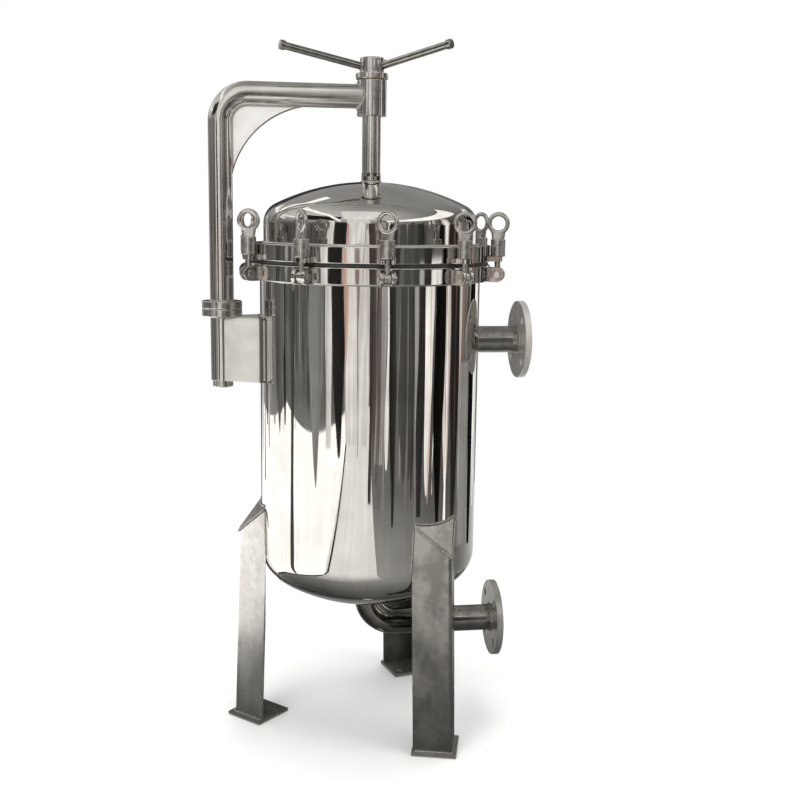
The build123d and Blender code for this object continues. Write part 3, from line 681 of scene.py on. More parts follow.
# ---- nozzles ----
def inlet_surface():
    """The inlet's pipe: straight rows of circles, the first moved onto the shell's bore,
    x = sqrt(bore^2 - y^2)."""
    x = np.linspace(shell_r, inlet_face - weld_setback, 8)
    points = pipe_surface(xyz(x, 0, inlet_z), pipe_r, pipe_wall)
    for row in (0, -1):
        points[row, :, 0] = np.sqrt((shell_r - shell_wall) ** 2 - points[row, :, 1] ** 2)
    return surface(points, True)


def elbow_path():
    """Down from the head, a quarter turn about (r, z + r), and along to the flange."""
    down = np.linspace(head_low + shell_wall, outlet_z + elbow_bend_r, 6)[:-1]
    a = np.linspace(math.pi, 1.5 * math.pi, 25)
    turn = elbow_bend_r * xyz(1 + np.cos(a), 0, 1 + np.sin(a)) + (0, 0, outlet_z)
    along = np.linspace(elbow_bend_r, outlet_face - weld_setback, 10)[1:]
    return np.concatenate([xyz(0, 0, down), turn, xyz(along, 0, outlet_z)])


def pipe_weld(x, radius, z, size):
    """A bead round a pipe that lies along X."""
    return placed(ring_bead(radius, 0, size), ALONG_X, (x, 0, z))


def saddle_weld(radius, wall_r, z, size):
    """A bead where a pipe along X meets an upright round wall: x = sqrt(wall^2 - y^2)."""
    a = around(200)
    y = radius * np.cos(a)
    return bead(xyz(np.sqrt(wall_r ** 2 - y ** 2), y, z + radius * np.sin(a)), size, True)


build("inlet_tube", [inlet_surface()], "vessel", tube_steel, POLISHED, "inlet_pipe")
elbow = surface(pipe_surface(elbow_path(), pipe_r, pipe_wall), True)
build("outlet_bend", [elbow], "vessel", tube_steel, POLISHED, "outlet_elbow")
dressed("inlet_flange", "inlet_plate_flange", flange_pale, 1 * MM)
dressed("outlet_flange", "outlet_plate_flange", flange_grey, 1 * MM)
nozzle_welds = [
    saddle_weld(pipe_r, shell_r, inlet_z, 3.2 * MM),
    pipe_weld(inlet_face - nozzle_flange_thickness, pipe_r, inlet_z, 3 * MM),
    pipe_weld(outlet_face - nozzle_flange_thickness, pipe_r, outlet_z, 3 * MM),
    pipe_weld(inlet_face - weld_setback, pipe_r - 1 * MM, inlet_z, 2 * MM),
    pipe_weld(outlet_face - weld_setback, pipe_r - 1 * MM, outlet_z, 2 * MM),
    ring_bead(pipe_r, head_low + 1 * MM, 3 * MM),
]
build("nozzle_welds", nozzle_welds, "vessel", weld_steel, POLISHED)
flange_seam = ring_bead(shell_r, flange_bottom, 3 * MM, long_seam_steps)
build("flange_seam", [flange_seam], "vessel", pipe_mirror, POLISHED)

# ---- legs ----
# The left leg and the feet are in the paler copy of the milled plate: painted light.
for side_name in leg_azimuths:
    sheet_metal = plate_pale if side_name == "left" else plate_grey
    dressed(f"leg_{side_name}", f"leg_angle_{side_name}", sheet_metal, 0.8 * MM)
    dressed(f"leg_cap_{side_name}", f"leg_top_{side_name}", plate_grey, 0.8 * MM)
    dressed(f"foot_{side_name}", f"foot_plate_{side_name}", plate_pale, 0.8 * MM)


def heel_x(z):
    """The leg's heel leans in by its run-out over the leg's height."""
    return leg_heel_r - leg_run_out * z / head_bend_z


def leg_seams():
    """The beads of one leg on +X: up both its edges along the shell, over the cap along the
    shell's curve, down the cap's sloping sides, and round the heel on the foot plate. The
    sides run back from the heel at 45 degrees."""
    z = np.linspace(head_bend_z - 4 * MM, leg_heel_top + 56 * MM, 40)
    y = (heel_x(z) - np.sqrt(2 * shell_r ** 2 - heel_x(z) ** 2)) / 2
    x = np.sqrt(shell_r ** 2 - y ** 2)
    paths = [xyz(x, side * (y + 1 * MM), z) for side in (-1, 1)]
    front = heel_x(leg_heel_top)
    y = np.linspace(-53, 53, 41) * MM
    x = np.sqrt(shell_r ** 2 - y ** 2)
    paths.append(xyz(x + 1 * MM, y, leg_heel_top + 8 * MM + (front - x) * leg_top_rise))
    back = np.abs(y)
    slope = leg_heel_top + 1 * MM + back * leg_top_rise
    paths.append(xyz(front + 0.6 * MM - back, y, slope))
    y = np.linspace(-55, 55, 41) * MM
    foot_top = high("foot_front", 2)
    paths.append(xyz(heel_x(foot_top) + 1 * MM - np.abs(y), y, foot_top))
    return [bead(spaced(path), 2.4 * MM) for path in paths]


leg_turns = [about("Z", azimuth) for azimuth in leg_azimuths.values()]
leg_beads = [placed(seam, turn) for turn in leg_turns for seam in leg_seams()]
build("leg_welds", leg_beads, "vessel", weld_steel, MILLED)


# ---- davit's seat ----
def on_post(part):
    """A surface about the origin's axis, moved to the davit's post."""
    return placed(part, at=(post_x, 0, 0))


socket_bottom = low("davit_socket", 2)
socket = ring_solid(davit_r, davit_r - davit_wall, socket_bottom, seat_z, 0.6 * MM)
build("seat_socket", [on_post(socket)], "vessel", pipe_mirror, POLISHED, "davit_socket")
lower_collar = ring_solid(collar_r, davit_r, seat_z - collar_thickness, seat_z, 2 * MM)
build("seat_collar", [on_post(lower_collar)], "vessel", turned_steel, POLISHED, "socket_collar")
dressed("davit_bracket", "seat_bracket", ground_plate, 1.2 * MM)


def bracket_seams():
    """Beads up both sides of the bracket, at the shell and at the socket, and along its top and
    bottom edges on the shell, x = -sqrt(shell^2 - y^2)."""
    foot, top = low("davit_bracket", 2) + 3 * MM, high("davit_bracket", 2) - 3 * MM
    paths = []
    for side in (-1, 1):
        shell_y, socket_y = side * 55 * MM, side * 22 * MM
        shell_x = -math.sqrt(shell_r ** 2 - shell_y ** 2)
        socket_x = post_x + math.sqrt(davit_r ** 2 - socket_y ** 2)
        for x, y in ((shell_x, shell_y), (socket_x, socket_y)):
            paths.append([(x, y, foot), (x, y, top)])
    y = np.linspace(-53, 53, 30) * MM
    x = -np.sqrt(shell_r ** 2 - y ** 2)
    paths += [xyz(x, y, z) for z in (foot - 2 * MM, top + 2 * MM)]
    return [bead(spaced(path), 2.4 * MM) for path in paths]


socket_bead = on_post(ring_bead(davit_r, seat_z - collar_thickness, 2.6 * MM))
build("seat_welds", bracket_seams() + [socket_bead], "vessel", weld_steel, POLISHED)


# ---- davit ----
def davit_surface():
    """The bent pipe, up the post, a quarter turn and along the arm, whose end is cut to the
    boss, x = -sqrt(boss^2 - y^2)."""
    up = np.linspace(seat_z, arm_z - davit_bend_r, 14)[:-1]
    a = np.linspace(math.pi, math.pi / 2, 33)
    centre = (post_x + davit_bend_r, 0, arm_z - davit_bend_r)
    turn = centre + davit_bend_r * xyz(np.cos(a), 0, np.sin(a))
    along = np.linspace(post_x + davit_bend_r, -boss_r, 8)[1:]
    path = np.concatenate([xyz(post_x, 0, up), turn, xyz(along, 0, arm_z)])
    points = pipe_surface(path, davit_r, davit_wall)
    for row in (len(path) - 1, len(path)):
        points[row, :, 0] = -np.sqrt(boss_r ** 2 - points[row, :, 1] ** 2)
    return surface(points, True)


def spindle_surface():
    """Round bar down from the post, with a chamfered foot."""
    foot, top = low("davit_spindle", 2), high("davit_spindle", 2)
    r = 21.05 * MM
    return on_post(bar_solid([(0, foot), (r, foot), (r, top), (0, top)], 1.5 * MM))


build("davit_tube", [davit_surface()], "davit", pipe_mirror, POLISHED, "davit_pipe")
collar_top = seat_z + collar_thickness
upper_collar = ring_solid(collar_r, davit_r, seat_z + running_gap, collar_top, 2 * MM)
build("post_collar", [on_post(upper_collar)], "davit", turned_steel, POLISHED, "davit_collar")
build("post_spindle", [spindle_surface()], "davit", turned_steel, POLISHED, "davit_spindle")
# The gusset is in the near-white copy of the satin plate: painted light.
dressed("davit_gusset", "davit_web", web_plate, 1 * MM)
boss_section = ring_solid(boss_r, rod_r + 0.1 * MM, boss_bottom, boss_top, 1 * MM)
build("rod_guide", [boss_section], "davit", cast_steel, POLISHED, "arm_boss")
hub_foot, hub_top = low("handle_hub", 2), high("handle_hub", 2)
washer = ring_solid(boss_r - 2 * MM, screw_r + 0.5 * MM, boss_top, hub_foot, 0.4 * MM)
build("bronze_washer", [washer], "davit", bronze, "bearing_bronze", "thrust_washer")


def gusset_seams():
    """Beads on both faces of the gusset, up the post, round the inside of the bend and along
    the arm."""
    touch = davit_r - 0.3 * MM
    a = np.linspace(math.pi, math.pi / 2, 24)
    inside = davit_bend_r - touch
    bend_x = post_x + davit_bend_r + inside * np.cos(a)
    bend_z = arm_z - davit_bend_r + inside * np.sin(a)
    x = np.concatenate([[post_x + touch], bend_x, [post_x + 162 * MM]])
    z = np.concatenate([[arm_z - 156 * MM], bend_z, [arm_z - touch]])
    return [bead(spaced(xyz(x, y, z)), 2.2 * MM) for y in (-4.6 * MM, 4.6 * MM)]


davit_welds = [
    on_post(ring_bead(davit_r, collar_top, 2.6 * MM)),
    placed(saddle_weld(davit_r, boss_r, arm_z, 2.8 * MM), about("Z", math.pi)),
    *gusset_seams(),
]
build("davit_welds", davit_welds, "davit", weld_steel, POLISHED)


def gusset_rim(steps=90):
    """The gusset's hollow edge, sawn and draw filed, as a flat strip 2.6 mm deep along the arc:
    points at centre + r (cos a, sin a), with r in two steps and y on both faces."""
    start = np.array([davit_r, -159 * MM])
    end = np.array([165 * MM, -davit_r])
    chord = end - start
    length = np.linalg.norm(chord)
    away = np.array([chord[1], -chord[0]]) / length
    radius = 182 * MM
    centre = (start + end) / 2 + away * math.sqrt(radius ** 2 - (length / 2) ** 2)
    first, last = (np.arctan2(*(tip - centre)[::-1]) for tip in (start, end))
    a = np.linspace(first % TAU, last % TAU, steps)[:, None]
    half = high("davit_gusset", 1) + 0.3 * MM
    r = radius + np.array([-0.5, -0.5, 2.1, 2.1]) * MM
    x, z = post_x + centre[0] + r * np.cos(a), arm_z + centre[1] + r * np.sin(a)
    return surface(xyz(x, half * np.array([-1, 1, 1, -1]), z))


build("web_rim", [gusset_rim()], "davit", plate_grey, SATIN)


# ---- lift rod and handle ----
def with_thread(corners, edge, radius, depth, pitch, bottom, top, cap, steps=48):
    """A bar that ends in a thread and a flat top, as one surface of revolution. On the thread
    the wall stands back by depth once a turn, along a clipped cosine of height / pitch - angle,
    and the groove fades out over half a pitch at both ends."""
    heights = np.arange(bottom, top, pitch / 10)
    wave = np.cos(TAU * heights[:, None] / pitch - around(steps))
    fade = np.clip(np.minimum(heights - bottom, top - heights) / (pitch / 2), 0, 1)
    thread_r = radius - depth * np.clip(0.5 + 1.4 * wave, 0, 1) * fade[:, None]
    foot = rounded(corners, edge, False)
    foot_r = np.repeat(foot[:, :1], steps, axis=1)
    end_r = np.repeat([[radius - depth / 2], [0]], steps, axis=1)
    radii = np.concatenate([foot_r, thread_r, end_r])
    return surface(turned(radii, np.concatenate([foot[:, 1], heights, [cap, cap]]), steps))


def lift_rod_surface():
    """T-head, neck, polished rod and the screw above it."""
    foot, top = low("lift_rod", 2), high("lift_rod", 2)
    head, neck = foot + 8 * MM, foot + 14.5 * MM
    screw = boss_bottom + 42 * MM
    thread = screw + 4 * MM
    corners = [(0, foot), (15 * MM, foot), (15 * MM, head), (9 * MM, head), (9 * MM, neck)]
    corners += [(rod_r, neck), (rod_r, screw), (screw_r, screw), (screw_r, thread)]
    return with_thread(corners, 0.8 * MM, screw_r, 2.4 * MM, 6 * MM, thread, top - 1 * MM, top)


build("lifting_rod", [lift_rod_surface()], "lift_rod", pipe_mirror, POLISHED, "lift_rod")

hub_r, hub_flange_r = 24.5 * MM, high("handle_hub", 1)
hub_step = hub_foot + 12 * MM
hub_bore = screw_r + 0.1 * MM
hub_corners = [(hub_bore, hub_foot), (hub_flange_r, hub_foot), (hub_flange_r, hub_step)]
hub_corners += [(hub_r, hub_step), (hub_r, hub_top), (hub_bore, hub_top)]
hub = turned_solid(rounded(hub_corners, 1.8 * MM))
build("handle_nut", [hub], "handle", cast_steel, POLISHED, "handle_hub")


def handle_parts():
    """Each rod out of the hub, its turned cap, and the bead where it is welded on."""
    rise = math.radians(10.2)
    reach = 196 * MM / math.cos(rise)
    start, rod_end = 20 * MM, reach - 12 * MM
    bar_r, cap_r = 7.5 * MM, 9.5 * MM
    rod = bar_solid([(0, start), (bar_r, start), (bar_r, rod_end), (0, rod_end)], 0.4 * MM, 40)
    cap = bar_solid([(0, rod_end), (cap_r, rod_end), (cap_r, reach), (0, reach)], 2 * MM, 40)
    ring = ring_bead(8 * MM, hub_r / math.cos(rise) - 0.5 * MM, 1.4 * MM, 60)
    azimuths = np.radians([194.7, 314.7, 74.7])
    turns = [about("Z", azimuth) @ about("Y", math.pi / 2 - rise) for azimuth in azimuths]
    root = (0, 0, hub_step + 9 * MM)
    return [[placed(part, turn, root) for turn in turns] for part in (rod, cap, ring)]


rods, caps, rod_beads = handle_parts()
build("handle_bars", rods, "handle", bar_steel, POLISHED, "handle_rods")
build("handle_ends", caps, "handle", bar_steel, POLISHED, "handle_caps")
build("handle_welds", rod_beads, "handle", weld_steel, POLISHED)

# ---- lid ----
lid_dome = dished_head(lid_r, 1.0, 0.1, lid_skirt_top - lid_face)
lid_dome = placed(lid_dome, at=(0, 0, lid_skirt_top))
build("lid_dome", [lid_dome], "lid", dome_mirror, POLISHED, "lid_head")
lid_ring = ring_solid(flange_r, lid_r, lid_face, lid_flange_top, 1.8 * MM, vessel_steps)
build("lid_flange_ring", [lid_ring], "lid", rim_mirror, POLISHED, "lid_flange")
dressed("lid_ears", "nut_ears", rim_mirror, 1 * MM)
dressed("lid_shoe", "lifting_shoe", turned_steel, 0.6 * MM)
lid_rim_bead = ring_bead(lid_r, lid_flange_top, 3 * MM, long_seam_steps)
shoe_bead = ring_bead(20 * MM, high("lid_head", 2), 2 * MM, 150)
build("lid_welds", [lid_rim_bead, shoe_bead], "lid", pipe_mirror, POLISHED)


def ear_seams():
    """Each ear's beads on the flange: up both its sides and over its top as far as the slot."""
    foot, top = low("lid_ears", 2), high("lid_ears", 2)
    side_y, slot_y = 16.5 * MM, 8 * MM
    beads = []
    for side in (-1, 1):
        path = [(flange_r, side * side_y, z) for z in (foot, top)]
        beads.append(bead(spaced(path + [(flange_r, side * slot_y, top)]), 1.7 * MM))
    return on_bolts(beads)


build("ear_welds", ear_seams(), "lid", weld_steel, POLISHED)


# ---- swing bolts and ring nuts ----
def eyebolt_surfaces():
    """The eye as a ring about the pin, and the shank with its thread, about the origin."""
    eye = placed(ring_solid(11 * MM, 5.1 * MM, -6.7 * MM, 6.7 * MM, 1.2 * MM, 48), ALONG_Y)
    top = high("eyebolt_01", 2) - pin_z
    start = top - 46 * MM
    corners = [(0, 8 * MM), (shank_r, 8 * MM), (shank_r, start - 1 * MM), (shank_r, start)]
    thread = (shank_r, 0.9 * MM, 1.75 * MM, start, top - 0.5 * MM, top, 32)
    return [eye, with_thread(corners, 0.3 * MM, *thread)]


def nut_surfaces():
    """Ring nut about the origin, its foot at zero: a turned body with a groove, a neck whose
    section goes from 25 by 10 to 30 by 7, and a round ring. Round the neck, x and y go as the
    square roots of cos a and sin a."""
    tall = nut_top - nut_foot
    body = ring_solid(nut_r, shank_r + 0.1 * MM, 0, tall, 1.6 * MM, 64)
    lift = np.linspace(-2, 16, 12)[:, None]
    share = np.clip(lift / 16, 0, 1)
    across, along = np.cos(around(40)), np.sin(around(40))
    x = (12.5 + 2.5 * share) * MM * np.sign(across) * np.sqrt(np.abs(across))
    y = (5.0 - 1.5 * share) * MM * np.sign(along) * np.sqrt(np.abs(along))
    neck = xyz(x, y, tall + lift * MM)
    neck = surface(np.concatenate([neck[:1] * (0, 0, 1), neck, neck[-1:] * (0, 0, 1)]))
    b = around(28)
    eye_section = np.stack([18.5 + 4.5 * np.cos(b), 4.5 * np.sin(b)], axis=-1) * MM
    ring = placed(turned_solid(eye_section, 72), about("X", math.pi / 2), (0, 0, tall + 32 * MM))
    return [body, neck, ring]


bolt_parts, nut_parts = eyebolt_surfaces(), nut_surfaces()
for number, (azimuth, eye_azimuth) in enumerate(zip(bolt_azimuths, eye_azimuths), 1):
    tag = f"{number:02d}"
    turn = about("Z", azimuth)
    foot = turn @ np.array([bolt_circle_r, 0, pin_z])
    bolt = [placed(part, turn, foot) for part in bolt_parts]
    build("swing_bolt_" + tag, bolt, "bolt_" + tag, turned_steel, POLISHED, "eyebolt_" + tag)
    turn = about("Z", eye_azimuth - math.pi / 2)
    nut = [placed(part, turn, (foot[0], foot[1], nut_foot)) for part in nut_parts]
    build("eye_nut_" + tag, nut, "nut_" + tag, nut_steel, POLISHED, "ring_nut_" + tag)

# ---- filter insert ----
dressed("tube_sheet", "bag_plate", flange_grey, 0.6 * MM)
dressed("bag_baskets", "slotted_baskets", flange_grey)
dressed("hold_down", "bag_clamp", turned_steel, 0.6 * MM)


def one_bag(phase):
    """A felt bag with a round foot. Its wall leans in and out along folds that run down it,
    r = wall - 0.9 mm (1 + sin(7 a + phase + 2 sin(9 h))), and its collar is a moulded ring."""
    low_z, high_z = low("filter_bags", 2), high("filter_bags", 2)
    outer, foot_r, collar = 82 * MM, 40 * MM, 5 * MM
    steps = 96
    collar_low = high_z - collar
    b = np.linspace(-math.pi / 2, 0, 12)
    foot = np.stack([outer - foot_r + foot_r * np.cos(b), low_z + foot_r + foot_r * np.sin(b)], -1)
    flat_r = np.linspace(0, outer - foot_r, 6)[:-1]
    flat = np.stack([flat_r, np.full_like(flat_r, low_z)], axis=-1)
    wall_z = np.linspace(low_z + foot_r, collar_low, 40)[1:]
    wall = np.stack([np.full_like(wall_z, outer), wall_z], axis=-1)
    radii, heights = np.concatenate([flat, foot, wall]).T[..., None]
    share = np.clip((heights - low_z) / (60 * MM), 0, 1)
    share = share * np.clip((collar_low - heights) / (40 * MM), 0, 1)
    fold = 1 + np.sin(7 * around(steps) + phase + 2 * np.sin(9 * (heights - low_z)))
    radii = radii - 0.9 * MM * fold * share
    inner = np.maximum(radii - 2 * MM, 0)
    inner_z = heights + 2 * MM * np.clip(1 - share, 0, 1)
    rim = outer + np.array([11, 12, 12, 11, -2])[:, None] * MM
    rim_z = high_z - np.array([5, 4, 1, 0, 0])[:, None] * MM
    radii = np.concatenate([radii, np.repeat(rim, steps, axis=1), inner[::-1]])
    return surface(turned(radii, np.concatenate([heights, rim_z, inner_z[::-1]]), steps))


bag_circle_r = 115 * MM
bags = []
for number in range(3):
    turn = about("Z", TAU / 3 * number)
    bags.append(placed(one_bag(number * 2.1), turn, turn @ np.array([bag_circle_r, 0, 0])))
build("felt_bags", bags, "vessel", felt, "filter_felt", "filter_bags")


# ---- studio ----
view_heading = math.radians(8.49)
view_pitch = math.radians(9.44)
view_roll = math.radians(0.79)
view_place = (-280.1 * MM, -2325.0 * MM, 1088.1 * MM)
camera_azimuth = math.atan2(view_place[1], view_place[0])
WHITE = (1, 1, 1, 1)


def make_camera():
    """A 50 mm lens on a full frame, a little above the lid's flange, tilted down."""
    data = bpy.data.cameras.new("camera")
    data.sensor_width = 36.0
    data.lens = 49.91
    camera = bpy.data.objects.new("camera", data)
    turn = Matrix.Rotation(-view_heading, 4, "Z")
    turn = turn @ Matrix.Rotation(math.pi / 2 - view_pitch, 4, "X")
    camera.matrix_world = Matrix.Translation(view_place) @ turn @ Matrix.Rotation(view_roll, 4, "Z")
    bpy.context.scene.collection.objects.link(camera)
    bpy.context.scene.camera = camera


def stage_piece(name, points, faces, material):
    """A mesh that is part of the studio."""
    mesh = bpy.data.meshes.new(name)
    mesh.from_pydata(points, [], faces.tolist())
    smoothed(mesh)
    piece = bpy.data.objects.new(name, mesh)
    bpy.context.scene.collection.objects.link(piece)
    mesh.materials.append(material)
    return piece


def seen_directly(tree):
    """One for camera, glossy and transmission rays, and nought for the light's own bounces."""
    seen = add(tree, "LightPath", out="Is Camera Ray")
    for rays in ("Is Glossy Ray", "Is Transmission Ray"):
        seen = add(tree, "Math", (seen, add(tree, "LightPath", out=rays)), operation="MAXIMUM")
    return seen


def floor_material():
    """Pale matt floor that keeps the shadow and goes over to the backdrop's white beyond it."""
    material, tree = blank("pale_floor")
    place = add(tree, "TexCoord", out="Object")
    tone = mottle(tree, place, 300, 3.0)
    base = add(tree, "ValToRGB", (tone,), stops=((0.3, "#f5f4f2"), (0.7, "#f9f8f6")))
    matt = add(tree, "BsdfPrincipled", {"Base Color": base, "Roughness": 0.9})
    distance = add(tree, "VectorMath", (place,), "Value", operation="LENGTH")
    far = add(tree, "MapRange", (distance, 0.5, 1.3, 0, 1))
    share = add(tree, "Math", (far, seen_directly(tree)), operation="MULTIPLY")
    white = add(tree, "Emission", (WHITE, 1.0))
    add(tree, "OutputMaterial", {"Surface": add(tree, "MixShader", (share, matt, white))})
    return material


def board_light(name, streak_mm, depth):
    """Light whose level and warmth come from the piece's own points, with streaks that run
    down the boards."""
    material, tree = blank(name)
    place = add(tree, "UVMap", out="UV")
    total = add(tree, "Attribute", out="Fac", attribute_name="level")
    for size_mm, share in ((streak_mm, depth), (streak_mm / 3.1, 0.6 * depth)):
        streaks = mottle(tree, place, size_mm, 2.0, (1, 0.05, 1))
        gain = add(tree, "MapRange", (streaks, 0.3, 0.7, 1 - share, 1 + share))
        total = add(tree, "Math", (total, gain), operation="MULTIPLY")
    warmth = add(tree, "Attribute", out="Fac", attribute_name="warmth")
    tint = add(tree, "ValToRGB", (warmth,), stops=((0.0, "#fffdfa"), (1.0, "#e8a98c")))
    add(tree, "OutputMaterial", {"Surface": add(tree, "Emission", (tint, total))})
    return material


def glossy_only(name, patches, *light):
    """A studio piece from patches of (points, uv, level, warmth), that only polished metal
    sees."""
    starts = np.cumsum([0] + [patch[2].size for patch in patches])
    faces = [grid_faces(*patch[2].shape) + start for patch, start in zip(patches, starts)]
    points, uv, level, warmth = (
        np.concatenate([np.reshape(patch[k], (-1, size)) for patch in patches])
        for k, size in enumerate((3, 2, 1, 1))
    )
    piece = stage_piece(name, points, np.concatenate(faces), board_light(*light))
    corners = np.empty(len(piece.data.loops), np.int32)
    piece.data.loops.foreach_get("vertex_index", corners)
    layer = piece.data.uv_layers.new(name="UVMap")
    layer.data.foreach_set("uv", uv[corners].astype(np.float32).ravel())
    for label, values in (("level", level), ("warmth", warmth)):
        attribute = piece.data.attributes.new(label, "FLOAT", "POINT")
        attribute.data.foreach_set("value", values.astype(np.float32).ravel())
    piece.visible_camera = False
    piece.visible_diffuse = False
    piece.visible_transmission = False
    piece.visible_shadow = False


def on_stage(azimuth, radius, height):
    """Points at an azimuth in degrees from the camera, to its right, about the vessel."""
    angle = camera_azimuth + np.radians(azimuth)
    return xyz(radius * np.cos(angle), radius * np.sin(angle), height)


def patch_of(points, across, along, level, warmth=0.0):
    """Points with their map, level and warmth, all spread to the points' grid."""
    grid = points.shape[:2]
    uv = np.stack([np.broadcast_to(across, grid), np.broadcast_to(along, grid)], axis=-1)
    return points, uv, np.broadcast_to(level, grid), np.full(grid, warmth)


def room(levels):
    """Part of the dim room as a turned surface. levels gives (radius, height, left of the
    camera, in front, right of it, behind), and the level runs between those as cos^2."""
    profile = np.array(levels)
    turn = np.linspace(-180, 180, 181)
    points = on_stage(turn, profile[:, :1], profile[:, 1:2])
    sides = np.array([[-90], [0], [90], [180]])
    level = profile[:, 2:] @ np.clip(np.cos(np.radians(turn - sides)), 0, 1) ** 2
    return patch_of(points, turn / 90, run_along(profile[:, :2])[:, None], level)


def board(start, end, distance, top, left, right, foot_share=0.4, warmth=0.0):
    """An upright curved board on the floor between two azimuths. Its level goes from left to
    right. Its edges are not quite straight: each strays by 0.8 sin(5 h + e) +
    0.4 sin(11 h + 2 e) degrees, and below 0.5 m they close in to foot_share of the width."""
    share = np.linspace(0, 1, 9)
    height = np.linspace(0, top, 61)[:, None]
    width = foot_share + (1 - foot_share) * np.clip(height / 0.5, 0, 1) ** 0.7
    edges = []
    for e, side in ((start, -1), (end, 1)):
        stray = 0.8 * np.sin(5 * height + e) + 0.4 * np.sin(11 * height + 2 * e)
        edges.append((start + end) / 2 + side * (end - start) / 2 * width + stray)
    turn = edges[0] + (edges[1] - edges[0]) * share
    level = left + (right - left) * share
    return patch_of(on_stage(turn, distance, height), turn / 90, height, level, warmth)


def sheet(*corners):
    """Paper or panel between four corners (azimuth, distance, height, level), near left, near
    right, far right and far left: bilinear, with straight edges."""
    corners = np.array(corners)
    across, along = np.linspace(0, 1, 17), np.linspace(0, 1, 17)[:, None]
    weights = (1 - across) * (1 - along), across * (1 - along), across * along, (1 - across) * along
    weights = np.stack(weights, axis=-1)
    points = weights @ on_stage(*corners[:, :3].T)
    return patch_of(points, across * 1.4, along, weights @ corners[:, 3])


def slivers(rng, start, end, count, distances, levels):
    """Narrow boards, light and dark, at odd places between two azimuths: widths 0.8 to 3
    degrees, tops 0.9 to 2 m, levels evenly spread on a logarithmic scale."""
    boards = []
    for _ in range(count):
        middle, half = rng.uniform(start, end), rng.uniform(0.4, 1.5)
        distance, top = rng.uniform(*distances), rng.uniform(0.9, 2.0)
        level = levels[0] * (levels[1] / levels[0]) ** rng.uniform()
        fade, foot_share, warmth = rng.uniform(0.6, 1.4), rng.uniform(0.05, 0.5), rng.uniform() ** 3
        ends = (middle - half, middle + half)
        boards.append(board(*ends, distance, top, level, level * fade, foot_share, warmth))
    return boards


def hung_band(azimuths, lower, upper, level):
    """A curved panel hung in the air: its lower and upper edges are (distance, height) at the
    azimuths, and run straight between them."""
    turn = np.linspace(azimuths[0], azimuths[-1], 49)
    distance, height = (
        np.array([np.interp(turn, azimuths, np.array(edge)[:, k]) for edge in (lower, upper)])
        for k in (0, 1)
    )
    return patch_of(on_stage(turn, distance, height), turn / 90, [[0.0], [0.5]], level)


